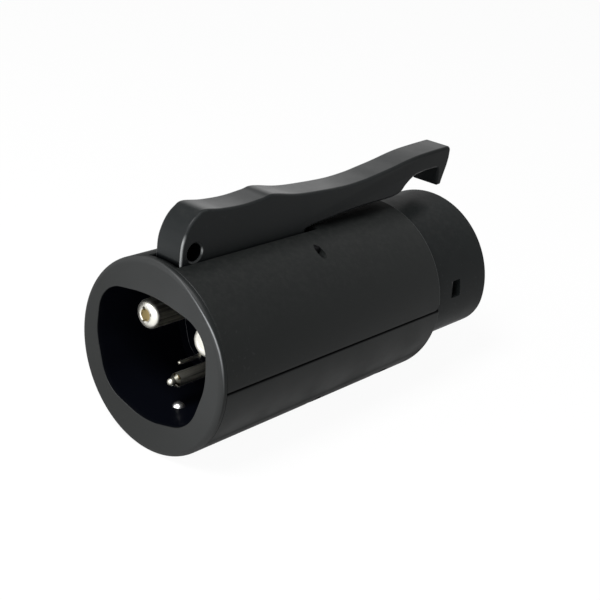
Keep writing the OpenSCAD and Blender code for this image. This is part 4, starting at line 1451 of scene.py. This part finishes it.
@dataclass
class SocketFront:
    """Rim, cavity and back plate of the socket, one moulding.

    The painted light and shade on the rim's rounding follow the angle round the axis: line_angles lists
    degrees, line_turns how far out on the rounding the painted highlight line lies there, from 0 to 1, and
    line_shares how strong it is. Each side light painted on the face gives the angle, strength and power of a
    faint painted light all over the face. A painted glint gives the angle of its middle, its reach in degrees
    and its strength, and inner_line how far the dark line inside the painted highlight lies from it, the angle
    of its middle and its strength.
    """

    rear_x: float = -81.5
    rim: float = 1.6
    rim_round: float = 1.4
    outer: float = BODY_RADIUS
    tube: float = 21.3
    tube_break: float = 0.4
    lip_round: float = 0.2
    foot_round: float = 0.12
    plate_x: float = -55.6
    end_x: float = PLATE_REAR_X
    platform_inset: float = 3.4
    platform_round: float = 0.3
    cavity: CavitySection = field(default_factory=CavitySection)
    floor_z: float = -15.63
    slot_z: float = 18.79
    # Painted highlight line, dark line inside it, painted glints and painted light on the face
    line_angles: tuple[float, ...] = (
        0, 70, 90, 100, 109, 116, 123, 130, 137, 145, 155, 163, 171, 185, 235, 360)
    line_turns: tuple[float, ...] = (
        0.9, 0.9, 0.9, 0.83, 0.74, 0.6, 0.5, 0.49, 0.56, 0.67, 0.76, 0.78, 0.8, 0.86, 1.0, 1.0)
    line_shares: tuple[float, ...] = (
        0, 0.02, 0.08, 0.12, 0.16, 0.2, 0.35, 0.6, 0.9, 1.0, 0.8, 0.5, 0.18, 0, 0, 0)
    line_reach: float = 0.12
    inner_line: tuple[float, float, float] = (0.24, 112.0, 0.8)
    lip_glint: tuple[float, float, float] = (305.0, 50.0, 0.10)
    painted_light_sides: tuple[tuple[float, float, float], ...] = ((160.0, 0.055, 1.4), (40.0, 0.017, 1.0))
    platform_glint: tuple[float, float, float] = (335.0, 30.0, 0.9)

    def rings(self) -> list[Ring]:
        """The moulding's rings from the tube's outside over the rim and down the cavity to the platform.

        Returns:
            Place along X, then either a circle's radius, or None and the cavity's inset.
        """
        shell_x, soft = self.rear_x + self.rim, self.foot_round
        outer_arc = arc_points((self.rear_x + self.rim_round, self.outer - self.rim_round), self.rim_round,
                               90, 180, 20)
        lip = arc_points((self.rear_x + self.lip_round, -self.lip_round), self.lip_round, 180, 90, 6)
        foot = arc_points((self.plate_x - soft, soft), soft, -90, 0, 3)
        p, bend = self.platform_inset, self.platform_round
        edge = arc_points((PLATFORM_X + bend, p + bend), bend, -90, -180, 5)
        circles = [
            (self.end_x, self.tube - self.tube_break), (self.end_x - self.tube_break, self.tube),
            (shell_x + 0.02, self.tube), (shell_x, self.outer - soft), (shell_x - soft, self.outer),
            *outer_arc, (self.rear_x, self.outer - self.rim_round - 0.25)]
        wall = [(x, 0.0) for x in np.linspace(self.rear_x + 1.5, self.plate_x - 0.6, 12)]
        insets = [*lip, *wall, *foot, (self.plate_x, p - 0.02), *edge]
        return [*((x, r, 0) for x, r in circles), *((x, None, inset) for x, inset in insets)]

    def cutters(self) -> list[bpy.types.Object]:
        """Builds the shapes of the ball's bore, the lever's slot in the rim, and a lead-in round each pin.

        Returns:
            The cutters.
        """
        top, r = self.floor_z, BALL_RADIUS
        bore = turned("ball_cutter", [
            (-self.outer, 0), (-self.outer, r + 0.05), (BALL_Z, r + 0.05), (top, r - 0.1),
            (top + 0.35, r + 0.25), (top + 1.2, r + 0.25), (top + 1.2, 0)], (BALL_X, 0.0), 48, Axis.Z)
        slot = soft_block("slot_cutter", (SLOT_REAR_X, -SLOT_HALF, self.slot_z),
                          (self.end_x + 1, SLOT_HALF, self.outer + 1), 0.0)
        x = PLATFORM_X
        gaps = [
            turned("gap_cutter", [(x - 0.4, 0), (x - 0.4, pin + 0.45), (x + 0.02, pin + 0.22),
                                  (x + 0.7, pin + 0.16), (x + 0.7, 0)], (y, z), 48)
            for y, z, pin in both_sides([POWER_PIN, GROUND_PIN, SIGNAL_PIN])
        ]
        return [bore, slot, *gaps]

    def moulding(self) -> bpy.types.Object:
        """Builds the moulding: rings in polar form, closed at the platform's middle and at the back.

        A ring's point at angle a lies at (x, r(a) cos a, r(a) sin a), with r either a circle's radius or the
        distance to the inset cavity's wall. The lip widens past the wall by a quarter circle.

        Returns:
            The moulding, with its bores cut.
        """
        a = np.linspace(0, 2 * math.pi, 256, endpoint=False)
        rows = ring_rows([(self.end_x, 0.0, 0), *self.rings()], self.cavity.outline, a)
        rows += closing_rows(rows[-1], (0.75, 0.5, 0.25, 0.0))
        piece = new_object("socket_moulding", np.concatenate(rows),
                           [grid_faces(len(rows), len(a), wrap_columns=True)])
        carve(piece, *self.cutters())
        self.mark_tones(piece)
        smooth_faces(piece)
        return piece

    def mark_tones(self, piece: bpy.types.Object) -> None:
        """Marks painted shade in the cavity, the rim's painted highlight line with a darker tone and painted
        shade outside it, painted light on the face, and painted glints on the edges.

        Args:
            piece: The moulding, with its bores cut.
        """
        x, y, z = positions(piece)
        r, around = np.hypot(y, z), angle_round(y, z)
        inner = r < self.tube - 0.5
        deep = ramp(x, self.rear_x + 0.02, self.rear_x + 0.22)
        edge = (x > PLATFORM_X + 0.01) & (x < PLATFORM_X + 0.2) & (r > 11.5)
        # Painted shade in the cavity, lighter at the platform's edge
        mark(piece, "inside", np.where(inner, np.where(edge, 0.1, deep), 0.0))

        # Darker tone on the rounding, with painted shade of the gap outside the highlight line, and a dark line
        # inside it
        turn = (r - self.outer + self.rim_round) / self.rim_round
        start = np.interp(around, self.line_angles, self.line_turns)
        gap, middle, strength = self.inner_line
        inner_line = strength * peak(turn, start - gap, self.line_reach) * peak(around, middle, 10, 1.6)
        outside = ramp(turn - start, 0.06, 0.18)
        mark(piece, "dark_edge_and_shade", np.maximum(outside, inner_line))

        # Painted highlight line on the rounding, painted glints on the lip and the platform's edge, painted
        # light on the face
        line = peak(turn, start, self.line_reach) * np.interp(around, self.line_angles, self.line_shares)
        middle, reach, strength = self.lip_glint
        lip = inner & (x > self.rear_x + 0.03) & (x < self.rear_x + 0.17)
        worn = np.where(lip, strength * peak(around, middle, reach, 1.4), line)
        flat = (turn < start) & (x < self.rear_x + self.rim) & (~inner | (deep == 0))
        painted_light = sum(strength * (0.5 + 0.5 * np.cos(np.radians(around - middle))) ** power
                     for middle, strength, power in self.painted_light_sides)
        worn = np.where(flat, np.maximum(worn, painted_light), worn)
        middle, reach, strength = self.platform_glint
        away = np.abs((around - middle + 180) % 360 - 180)
        mark(piece, "worn", np.where(edge, strength * peak(away, 0.0, reach, 1.5), worn))

    def build(self, book: FinishBook) -> None:
        """Builds the socket's front and places it."""
        place(self.moulding(), book, "rim_plastic", "insert_plastic", "adapter_body", "socket_insert")


@dataclass
class SocketPins:
    """The turned pins of the socket."""

    end_x: float = -50.1
    tail_x: float = -43.0
    signal_tail_x: float = -44.0
    power_tip_x: float = -74.3
    ground_tip_x: float = -74.7
    signal_tip_x: float = -63.7
    flat: float = 1.6
    edge_length: float = 1.5
    ground_nose: float = 0.975
    shoulder: float = 0.2
    collar: float = 1.25

    def tail(self, radius: float, tail_r: float, end: float) -> list[tuple[float, float]]:
        """Shoulder in the back plate, and the collar and tail behind it.

        Args:
            radius: Radius of the pin.
            tail_r: Radius of its tail.
            end: Where the tail ends along X.

        Returns:
            Points of place along X and radius, from the plate to the tail's end.
        """
        seat, collar = radius + self.shoulder, radius + self.collar
        return [(PLATFORM_X, radius), (PLATFORM_X, seat), (PLATE_REAR_X, seat), (PLATE_REAR_X, collar),
                (self.end_x, collar), (self.end_x, tail_r), (end, tail_r), (end, 0.0)]

    def power_pin(self, side: Side) -> bpy.types.Object:
        """A power pin: flat tip, an edge that is rounded as a quarter of an ellipse, then a plain shaft.

        The edge's point at angle q is (x + e (1 - cos q), r - w + w sin q), with e along the pin and w
        across. A slight dip parts the flat from the edge.

        Args:
            side: Which of the two.

        Returns:
            The pin, with the left pin's flat marked as bare; the right pin's plating is whole there.
        """
        (y, z, r), x, f = POWER_PIN, self.power_tip_x, self.flat
        across = r - f - 0.15
        q = np.radians(np.linspace(0, 90, 13))
        nose = np.stack([x + self.edge_length * (1 - np.cos(q)), r - across + across * np.sin(q)], 1)
        flat = [(x + 0.1, 0.0), (x + 0.1, 0.8), (x + 0.1, f - 0.12), (x + 0.12, f), (x + 0.06, f + 0.06)]
        profile = [*flat, *nose, (x + 4, r), (x + 9, r), (x + 15, r), *self.tail(r, 2.5, self.tail_x)]
        piece = turned(f"power_pin_{side.name.lower()}_turned", profile, (side.value * y, z), 72)
        px, py, pz = positions(piece)
        away = np.hypot(py - side.value * y, pz - z)
        worn_tip = (px < x + 0.5) & (side is Side.LEFT)
        mark(piece, "bare", worn_tip * ramp(away, f + 0.03, f - 0.07))
        mark(piece, "scuff", worn_tip * peak(away, f, 0.9))
        mark(piece, "clean", ramp(px, x + 1.5, x + 0.6))
        return piece

    def ground_pin(self) -> bpy.types.Object:
        """The ground pin: a slim nose with a round tip, a darker cone and the shaft.

        Returns:
            The pin, with its cone marked darker and scuffed.
        """
        (y, z, r), x, nose = GROUND_PIN, self.ground_tip_x, self.ground_nose
        tip = [(x, 0.0), *arc_points((x + 0.85, nose - 0.85), 0.85, 180, 90, 10)]
        cone = [(x + 1.5, nose), (x + 1.65, nose + 0.06), (x + 2.4, r - 0.06), (x + 2.55, r), (x + 2.7, r)]
        profile = [*tip, *cone, (x + 9, r), *self.tail(r, 1.6, self.tail_x)]
        piece = turned("ground_pin_turned", profile, (y, z), 56)
        from_tip = positions(piece)[0] - x
        on_cone = (from_tip > 1.45) & (from_tip < 2.6)
        mark(piece, "darkened", on_cone)
        mark(piece, "scuff", on_cone)
        return piece

    def signal_pin(self, side: Side) -> bpy.types.Object:
        """A signal pin with a round tip.

        Args:
            side: Which of the two.

        Returns:
            The pin.
        """
        (y, z, r), x = SIGNAL_PIN, self.signal_tip_x
        tip = arc_points((x + r, 0.0), r, 180, 90, 10)
        profile = [*tip, (x + 4, r), *self.tail(r, 0.6, self.signal_tail_x)]
        return turned(f"signal_pin_{side.name.lower()}_turned", profile, (side.value * y, z), 40)

    def build(self, book: FinishBook) -> None:
        """Builds all five pins and places them.

        Args:
            book: The finishes.
        """
        pins = {}
        for side in Side:
            pins[f"power_pin_{side.name.lower()}"] = self.power_pin(side)
            pins[f"signal_pin_{side.name.lower()}"] = self.signal_pin(side)
        pins["ground_pin"] = self.ground_pin()
        for node, piece in pins.items():
            smooth_faces(piece, 40)
            place(piece, book, "plated_pin", "plated_brass", "adapter_body", node)


@dataclass
class PlugNose:
    """The plug's nose: shell with side windows, and the contact carrier inside it.

    A hole is given as Y, Z, the radius of its mouth and the radius of the seat behind it.
    """

    length: float = 24.2
    wall: float = 2.2
    rear_x: float = -6.0
    flange: tuple[float, float] = (-3.4, 22.6)
    rim_round: float = 0.4
    lip_round: float = 0.3
    window: tuple[float, float, float, float] = (7.9, 11.8, 0.9, 5.5)
    carrier_rear: float = -8.0
    carrier_face: float = 23.4
    carrier_gap: float = 0.1
    disc: float = 21.0
    contact_front: float = 20.4
    lead_in: float = 0.55
    tab_length: float = 1.5
    tab_gap: float = 0.2
    tab_y: tuple[float, float] = (17.0, 1.2)
    holes: tuple[tuple[float, float, float, float], ...] = (
        (7.85, 6.8, 2.4, 3.1), (0.0, -10.6, 2.0, 2.7), (10.65, -5.6, 1.35, 1.6))
    ring_points: int = 224
    section: NoseSection = field(default_factory=NoseSection)

    def side_block(self, name: str, side: Side, x: tuple[float, float], y: tuple[float, float],
                   z: tuple[float, float], edge: float) -> bpy.types.Object:
        """A block on one side of the middle plane.

        Args:
            name: Name of the object.
            side: The side that it lies on.
            x: Its ends along X.
            y: Its nearest and farthest distance from the middle plane.
            z: Its lower and upper end.
            edge: Radius of its edges.

        Returns:
            The block.
        """
        y0, y1 = sorted((side.value * y[0], side.value * y[1]))
        return soft_block(name, (x[0], y0, z[0]), (x[1], y1, z[1]), edge)

    def shell(self) -> bpy.types.Object:
        """Builds the nose's shell as one closed profile round the section, and cuts its windows.

        Returns:
            The shell.
        """
        a = np.linspace(0, 2 * math.pi, self.ring_points, endpoint=False)
        (fx, fr), end, wall = self.flange, self.length, self.wall
        rim = arc_points((end - self.rim_round, self.rim_round), self.rim_round, -90, 0, 5)
        lip = arc_points((end - self.lip_round, wall - self.lip_round), self.lip_round, 0, 90, 4)
        outside = [(fx, 0.0), *((x, 0.0) for x in np.linspace(-2.0, end - 0.8, 9))]
        inside = [(x, wall) for x in (18.0, 8.0, 0.0, self.rear_x)]
        rings = [(self.rear_x, fr, 0), (fx, fr, 0),
                 *((x, None, inset) for x, inset in (*outside, *rim, *lip, *inside))]
        rows = ring_rows(rings, self.section.outline, a)
        shell = new_object("nose_moulding", np.concatenate(rows),
                           [grid_faces(len(rows), len(a), wrap_rows=True, wrap_columns=True)])
        x0, x1, z0, z1 = self.window
        y = (self.section.radius - wall - 1, self.section.radius + 1)
        carve(shell, *[self.side_block("window_cutter", s, (x0, x1), y, (z0, z1), 0.0) for s in Side])
        smooth_faces(shell)
        return shell

    def carrier(self) -> bpy.types.Object:
        """Builds the carrier: section solid with a soft front edge, mouths with lead-ins, and snap tabs.

        Returns:
            The carrier.
        """
        a = np.linspace(0, 2 * math.pi, self.ring_points, endpoint=False)
        inset, face, deep = self.wall + self.carrier_gap, self.carrier_face, self.contact_front
        front = arc_points((face - self.rim_round, inset + self.rim_round), self.rim_round, -90, 0, 5)
        side = [(x, inset) for x in (self.rear_x, 0.0, 8.0, 16.0)]
        rings = [(self.carrier_rear, 0.0, 0), (self.carrier_rear, self.disc, 0), (self.rear_x, self.disc, 0),
                 *((x, None, i) for x, i in (*side, *front))]
        rows = ring_rows(rings, self.section.outline, a)
        rows += closing_rows(rows[-1], (0.7, 0.35, 0.0))
        carrier = new_object("carrier_moulding", np.concatenate(rows),
                             [grid_faces(len(rows), len(a), wrap_columns=True)])
        mouths = [
            turned("mouth_cutter", [
                (deep - 1.0, 0), (deep - 1.0, seat), (deep, seat), (deep, r), (face - 0.45, r),
                (face + 0.1, r + self.lead_in), (face + 1, r + self.lead_in), (face + 1, 0)], (y, z), 48)
            for y, z, r, seat in both_sides(self.holes)
        ]
        carve(carrier, *mouths)
        x0, _, z0, z1 = self.window
        x = (x0 + self.tab_gap, x0 + self.tab_gap + self.tab_length)
        y = (self.tab_y[0], self.section.radius - self.tab_y[1])
        z = (z0 + self.tab_gap, z1 - self.tab_gap)
        merge_into(carrier, *[self.side_block("tab", s, x, y, z, 0.25) for s in Side])
        smooth_faces(carrier)
        return carrier

    def build(self, book: FinishBook) -> None:
        """Builds the nose and its carrier and places them."""
        place(self.shell(), book, "nose_plastic", "body_plastic", "adapter_body", "nose_shell")
        place(self.carrier(), book, "carrier_plastic", "insert_plastic", "adapter_body", "contact_carrier")


@dataclass
class LatchLever:
    """The latch lever, one moulding, from its holed tail to the hook over the nose."""

    width: float = 8.4
    edge: float = 0.8
    top: float = BODY_RADIUS
    tail_x: float = -77.5
    belly_z: float = 22.2
    boss: float = 2.45
    bore: float = 1.2
    hole: tuple[float, float, float] = (-73.25, 25.5, 2.1)
    pocket: tuple[float, float] = (2.9, 3.0)
    finger: tuple[float, float, float] = (-45.5, 19.45, 4.0)
    pitch: float = 0.7
    least_gap: float = 0.02
    edge_steps: int = 6
    foot_points: int = 6

    # Painted light and shade: the centre and reach of the painted highlight strip, then where each ramp is 0
    # and where it is 1
    highlight_strip: tuple[float, float] = (0.40, 0.30)
    highlight_strip_top: tuple[float, float] = (30.4, 28.6)
    end_glow: tuple[float, float] = (30.5, 24.5)
    foot_shade: tuple[float, float] = (24.3, 23.3)
    hook_shade: tuple[float, float] = (2.0, 14.0)

    def back_line(self) -> np.ndarray:
        """The upper side from the tail's foot over the tail, dip, thumb hump and waist to the hook.

        Returns:
            Points in X and Z.
        """
        t, top = self.tail_x, self.top
        return smooth_curve([
            (t, self.belly_z), (t + 0.1, top + 3.4), (t + 1, top + 6.4), (t + 2.5, top + 8.8),
            (t + 4.5, top + 10.5), (t + 6.8, top + 11.4), (t + 12.5, top + 10.675), (t + 19.5, top + 10.35),
            (t + 26, top + 10.8), (t + 28.6, top + 11.2), (t + 31.5, top + 10.9), (-40, top + 9.8),
            (-33.5, top + 9.2), (-21.5, top + 8.7), (-13.3, top + 9.05), (-7, top + 9.8), (-1, top + 10.6),
            (4.5, top + 11.5), (10, top + 12.15), (18, top + 12.6)], 8)

    def hook_line(self) -> np.ndarray:
        """The hook's end: blunt nose, sloping front, narrow tip and inner corner, with rounded corners.

        Returns:
            Points in X and Z.
        """
        return rounded_corners(
            [(18.3, 36.41), (24.0, 36.62), (23.85, 33.2), (23.3, 31.0), (22.6, 29.3), (21.24, 25.9),
             (19.4, 25.9), (18.7, 31.05), (13.4, 30.95)],
            [1.2, 6.0, 8.0, 8.0, 0.6, 0.5, 0.8])

    def under_line(self) -> np.ndarray:
        """The underside from the hook's gap back to the slot's end.

        Returns:
            Points in X and Z.
        """
        top = self.top
        return smooth_curve([
            (13.1, 30.93), (8.6, 30.3), (5.2, 28.4), (3.3, 26.7), (0.8, 25.95), (-2.5, top + 1.9),
            (-12.5, top + 1.7), (-21, top + 1.235), (-29.5, top + 0.5), (-32.0, top + 0.3), (-33.7, top),
            (-35.3, top - 0.35)], 8)

    def belly_line(self) -> np.ndarray:
        """Round the pivot's boss and along the belly to the tail's foot.

        Returns:
            Points in X and Z.
        """
        belly, tail = self.belly_z, self.tail_x
        boss = arc_points(PIVOT_AT, self.boss, 0, -180, 16)
        foot = rounded_corners([(-60.0, belly), (tail + 0.02, belly), (tail + 0.01, belly + 0.9)], [0.8], 5)
        return np.concatenate([[(-35.3, belly)], boss, [(PIVOT_AT[0] - self.boss, belly)], foot])

    def outline(self) -> np.ndarray:
        """The side view as a closed, evenly stepped, counterclockwise outline in X and Z.

        The belly line's rounded foot takes the place of the back line's first points.

        Returns:
            The outline's points.
        """
        back = self.back_line()[self.foot_points:]
        line = np.concatenate([back, self.hook_line(), self.under_line(), self.belly_line()])
        line = resampled(line, self.pitch)
        gap = np.linalg.norm(np.roll(line, -1, 0) - line, axis=1)
        return line[gap > self.least_gap][::-1]

    def slab(self) -> bpy.types.Object:
        """Builds the lever from its side view with rounded long edges.

        With r the smaller of the edge radius and the room at a point, evened out along the outline, and n
        the outline's normal, the loop at angle q is p - n * r * (1 - cos q) at
        y = width / 2 - r * (1 - sin q), on both sides.

        Returns:
            The lever without its bores.
        """
        p = self.outline()
        normals = outward_normals(p)
        room = inward_room(p, normals, self.edge)
        kernel = np.exp(-0.5 * (np.arange(-4, 5) / 2.0) ** 2)
        padded = np.concatenate([room[-4:], room, room[:4]])
        r = np.minimum(room, np.convolve(padded, kernel / kernel.sum(), "valid"))
        q = np.radians(np.linspace(90, 0, self.edge_steps + 1))
        loops = []
        for sign, angles in ((1, q), (-1, q[::-1])):
            for angle in angles:
                moved = p - normals * (r * (1 - math.cos(angle)))[:, None]
                y = sign * (self.width / 2 - r * (1 - math.sin(angle)))
                loops.append(np.insert(moved, 1, y, axis=1))
        n = len(p)
        caps = [np.arange(n)[None], ((len(loops) - 1) * n + np.arange(n))[::-1][None]]
        return new_object("latch_lever_moulding", np.concatenate(loops),
                          [grid_faces(len(loops), n, wrap_columns=True), *caps])

    def lever(self) -> bpy.types.Object:
        """Builds the lever and cuts the padlock hole, the pivot's bore and the spring's pocket.

        Returns:
            The lever.
        """
        lever = self.slab()
        half, belly = self.width / 2, self.belly_z
        hx, hz, hr = self.hole
        padlock = turned("padlock_cutter", [
            (-half - 0.6, 0), (-half - 0.6, hr + 1.1), (-half, hr + 0.5), (-half + 0.1, hr + 0.37),
            (-half + 0.3, hr + 0.15), (-half + 0.45, hr), (half - 0.45, hr), (half, hr + 0.5),
            (half + 0.6, hr + 1.1), (half + 0.6, 0)], (hx, hz), 64, Axis.Y)
        bore = turned("bore_cutter", [(-6, 0), (-6, self.bore), (6, self.bore), (6, 0)], PIVOT_AT, 40, Axis.Y)
        r, deep = self.pocket
        pocket = turned("pocket_cutter", [
            (belly - 1, 0), (belly - 1, r), (belly + deep, r), (belly + deep, 0)],
            (SPRING_X, 0.0), 40, Axis.Z)
        carve(lever, padlock, bore, pocket)
        fx, fz, fw = self.finger
        merge_into(lever, soft_block("finger", (fx - 1, -fw / 2, fz), (fx + 1, fw / 2, belly + 1), 0.2))
        self.mark_tones(lever)
        smooth_faces(lever)
        return lever

    def mark_tones(self, lever: bpy.types.Object) -> None:
        """Marks a painted highlight along the tail's near edge, painted light on its end face and on the lit
        side of the padlock hole's lead-in, and painted shade on the hole's wall, at the tail's foot and on the
        hook.

        With t = (half - |y|) / edge, an edge's rounding runs from t = 0 at the side to t = 1 at the outline.

        Args:
            lever: The lever, with its holes cut.
        """
        x, y, z = positions(lever)
        half = self.width / 2
        hx, hz, hr = self.hole
        across = (half + y) / self.edge
        far_side = 2 * half / self.edge
        away = np.hypot(x - hx, z - hz)
        turn = np.degrees(np.arctan2(z - hz, x - hx))

        # Painted highlight strip, painted light on the end face and on the padlock hole's lit side
        highlight_strip = peak(across, *self.highlight_strip) ** 0.6
        highlight_strip *= np.maximum(ramp(z, *self.highlight_strip_top), 0.04) * (x < -70)
        lit = np.maximum(peak(turn, 0.0, 22, 1.2), 0.08) * (np.abs(away - hr - 0.26) < 0.14)
        lit *= (y < -3) & (np.abs(turn + 30) < 100)
        end = 0.05 * ramp(z, *self.end_glow) * (x < self.tail_x + 1.5)
        end *= (across > 0.98) & (across < far_side - 0.98)
        mark(lever, "worn", np.clip(np.where(away < hr + 0.7, lit * 0.8, highlight_strip + end), 0, 1))

        # Painted shade at the tail's foot, on the hook and on the padlock hole's wall
        foot = ramp(z, *self.foot_shade) * (x < self.tail_x + 1.5)
        foot *= (across > 0.55) & (across < far_side - 0.55)
        shade = np.maximum(foot, 0.3 * ramp(x, *self.hook_shade))
        mark(lever, "inside", np.where(away < hr + 0.05, 1.0, shade))

    def build(self, book: FinishBook) -> None:
        """Builds the lever and places it."""
        place(self.lever(), book, "lever_plastic", "lever_plastic", "lever", "latch_lever")


@dataclass
class CoilSpring:
    """A coil spring that stands upright."""

    name: str
    node: str
    joint: str
    x: float
    foot_z: float
    height: float
    radius: float
    wire: float
    turns: float
    keep: float
    steps: int = 28
    sides: int = 10

    def build(self, book: FinishBook) -> None:
        """Builds the coil and lets it stand for its CAD node.

        The path at share t is (x + r cos 2 pi n t, r sin 2 pi n t, foot + wire + (height - 2 wire) t).

        Args:
            book: The finishes.
        """
        t = np.linspace(0, 1, int(self.turns * self.steps) + 1)
        a = 2 * math.pi * self.turns * t
        rise = (self.height - 2 * self.wire) * t
        path = np.stack([self.x + self.radius * np.cos(a), self.radius * np.sin(a),
                         self.foot_z + self.wire + rise], 1)
        piece = new_object(self.name, *swept_tube(path, self.wire, self.sides))
        smooth_faces(piece, 50)
        place(piece, book, "zinc_steel", "steel", "adapter_body", self.node)
        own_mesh(piece)


@dataclass
class DetentBall:
    """The polished ball in the cavity's floor."""

    radius: float = BALL_RADIUS

    def build(self, book: FinishBook) -> None:
        """Builds the ball: (x + r cos v cos u, r cos v sin u, z + r sin v).

        Args:
            book: The finishes.
        """
        v = np.radians(np.linspace(-90, 90, 33))
        profile = np.stack([BALL_Z + self.radius * np.sin(v), self.radius * np.abs(np.cos(v))], 1)
        ball = turned("detent_ball_polished", profile, (BALL_X, 0.0), 64, Axis.Z)
        smooth_faces(ball, 60)
        place(ball, book, "polished_ball", "ball_steel", "ball", "detent_ball")


@dataclass
class InnerWorks:
    """The pieces kept from the frame, each given the finish of its real material."""

    finishes: dict[str, tuple[str, ...]] = field(default_factory=lambda: {
        "carrier_plastic": ("pin_retainer",),
        "zinc_steel": ("retainer_screws", "board_screws", "shell_screws"),
        "blackened_steel": ("pivot_pin",),
        "seal_rubber": ("pin_seals", "nose_seal"),
        "plated_contact": ("power_contact_left", "power_contact_right", "ground_contact",
                           "signal_contact_left", "signal_contact_right"),
        "bare_copper": ("power_busbar_left", "power_busbar_right", "ground_busbar"),
        "lead_jacket": ("signal_lead_left", "signal_lead_right", "board_leads"),
        "switch_plastic": ("latch_switch",),
        "button_plastic": ("switch_plunger",),
        "green_board": ("circuit_board",),
        "component_body": ("board_parts",),
        "plug_brass": ("detent_plug",),
    })

    def build(self, book: FinishBook, nodes: dict[str, bpy.types.Object]) -> None:
        """Dresses the kept nodes.

        Args:
            book: The finishes.
            nodes: CAD objects by node name.
        """
        for finish, names in self.finishes.items():
            for name in names:
                book.dress(nodes[name], finish)
                LOG.info("dressed %s as %s", name, finish)


# Studio


@dataclass
class Studio:
    """Floor, world, lamps and camera."""

    floor_z: float = -BODY_RADIUS
    floor_half: float = 3000.0
    floor_tone: Tone = (0.86, 0.86, 0.86)
    floor_share: float = 0.95
    air_light: float = 0.28
    camera_at: Vec3 = (-258.219, -186.805, 124.218)
    camera_turn: Vec3 = (67.3665, -5.8337, -48.3476)
    lens: float = 74.28

    @staticmethod
    def seen_rays(bench: Bench) -> bpy.types.NodeSocket:
        """1 for rays from the camera, off a glossy surface or through a clear one, and 0 for other rays.

        Args:
            bench: Where the nodes go.

        Returns:
            The value's socket.
        """
        rays = bench.node("LightPath")
        seen = bench.math("MAXIMUM", rays.outputs["Is Camera Ray"], rays.outputs["Is Glossy Ray"])
        return bench.math("MAXIMUM", seen, rays.outputs["Is Transmission Ray"])

    def floor(self) -> None:
        """A pale floor that shows white where it is lit and keeps a soft shadow."""
        f = self.floor_half
        corners = np.array([[-f, -f, self.floor_z], [f, -f, self.floor_z], [f, f, self.floor_z],
                            [-f, f, self.floor_z]])
        flat = new_object("studio_floor", corners, [np.array([[0, 1, 2, 3]])])
        material = bpy.data.materials.new("floor_paper")
        material.use_nodes = True
        bench = Bench(material.node_tree)
        material.node_tree.nodes.clear()
        matt = bench.node("BsdfDiffuse")
        matt.inputs["Color"].default_value = (*self.floor_tone, 1)
        glow = bench.node("Emission")
        mix = bench.node("MixShader")
        bench.link(bench.math("MULTIPLY", self.seen_rays(bench), self.floor_share), mix.inputs[0])
        bench.link(matt.outputs[0], mix.inputs[1])
        bench.link(glow.outputs[0], mix.inputs[2])
        bench.link(mix.outputs[0], bench.node("OutputMaterial").inputs[0])
        flat.data.materials.append(material)

    def world(self) -> None:
        """White to the camera and in reflections, dimmer as light."""
        world = bpy.data.worlds.new("studio_air")
        bpy.context.scene.world = world
        world.use_nodes = True
        bench = Bench(world.node_tree)
        back = world.node_tree.nodes["Background"]
        back.inputs["Color"].default_value = (1, 1, 1, 1)
        bench.link(bench.span(self.seen_rays(bench), 0.0, 1.0, self.air_light, 1.0), back.inputs["Strength"])

    def lamp(self, name: str, at: Vec3, aim: Vec3, size: tuple[float, float], power: float) -> None:
        """Adds a soft rectangular lamp.

        Args:
            name: Name of the lamp.
            at: Its place in millimetres.
            aim: Point that it faces.
            size: Its width and height in millimetres.
            power: Its power in watts.
        """
        data = bpy.data.lights.new(name, "AREA")
        data.shape = "RECTANGLE"
        data.size, data.size_y = size[0] * MM, size[1] * MM
        data.energy = power
        lamp = bpy.data.objects.new(name, data)
        bpy.context.scene.collection.objects.link(lamp)
        place_at = np.array(at, float) * MM
        back = place_at - np.array(aim, float) * MM
        back /= np.linalg.norm(back)
        right = np.cross([0.0, 0.0, 1.0], back)
        right /= np.linalg.norm(right)
        turn = np.stack([right, np.cross(back, right), back], 1)
        lamp.matrix_world = Matrix.Translation(place_at.tolist()) @ Matrix(turn.tolist()).to_4x4()

    def camera(self) -> None:
        """The camera at the photograph's angle."""
        data = bpy.data.cameras.new("camera")
        data.lens, data.sensor_width, data.sensor_fit = self.lens, 36.0, "HORIZONTAL"
        data.clip_start, data.clip_end = 0.01, 20.0
        camera = bpy.data.objects.new("camera", data)
        camera.location = [c * MM for c in self.camera_at]
        camera.rotation_euler = [math.radians(c) for c in self.camera_turn]
        bpy.context.scene.collection.objects.link(camera)
        bpy.context.scene.camera = camera

    def build(self) -> None:
        """Sets the whole studio up."""
        self.floor()
        self.world()
        self.lamp("socket_lamp", (-650, 250, 300), (-60, 0, 0), (500, 400), 1.7)
        self.lamp("top_lamp", (-430, -40, 620), (-50, 0, 0), (280, 240), 6.4)
        self.lamp("front_lamp", (-680, -270, 150), (-70, 0, 5), (320, 240), 1.5)
        self.camera()
        bpy.context.scene.view_settings.view_transform = "Standard"


def main() -> None:
    logging.basicConfig(level=logging.INFO, format="%(message)s")
    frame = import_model()
    book = FinishBook()
    latch_spring = CoilSpring(
        "latch_spring_coil", "latch_spring", "lever_press", x=SPRING_X, foot_z=18.793, height=6.377,
        radius=2.2, wire=0.3, turns=5.0, keep=0.7)
    detent_spring = CoilSpring(
        "detent_spring_coil", "detent_spring", "detent_slide", x=BALL_X, foot_z=-20.15, height=2.58,
        radius=1.25, wire=0.15, turns=4.0, keep=0.64)
    for piece in (RoundBody(), SocketFront(), SocketPins(), PlugNose(), LatchLever(), latch_spring,
                  detent_spring, DetentBall()):
        piece.build(book)
    InnerWorks().build(book, frame["nodes"])
    Studio().build()
    bpy.context.view_layer.update()


if __name__ == "__main__":
    main()
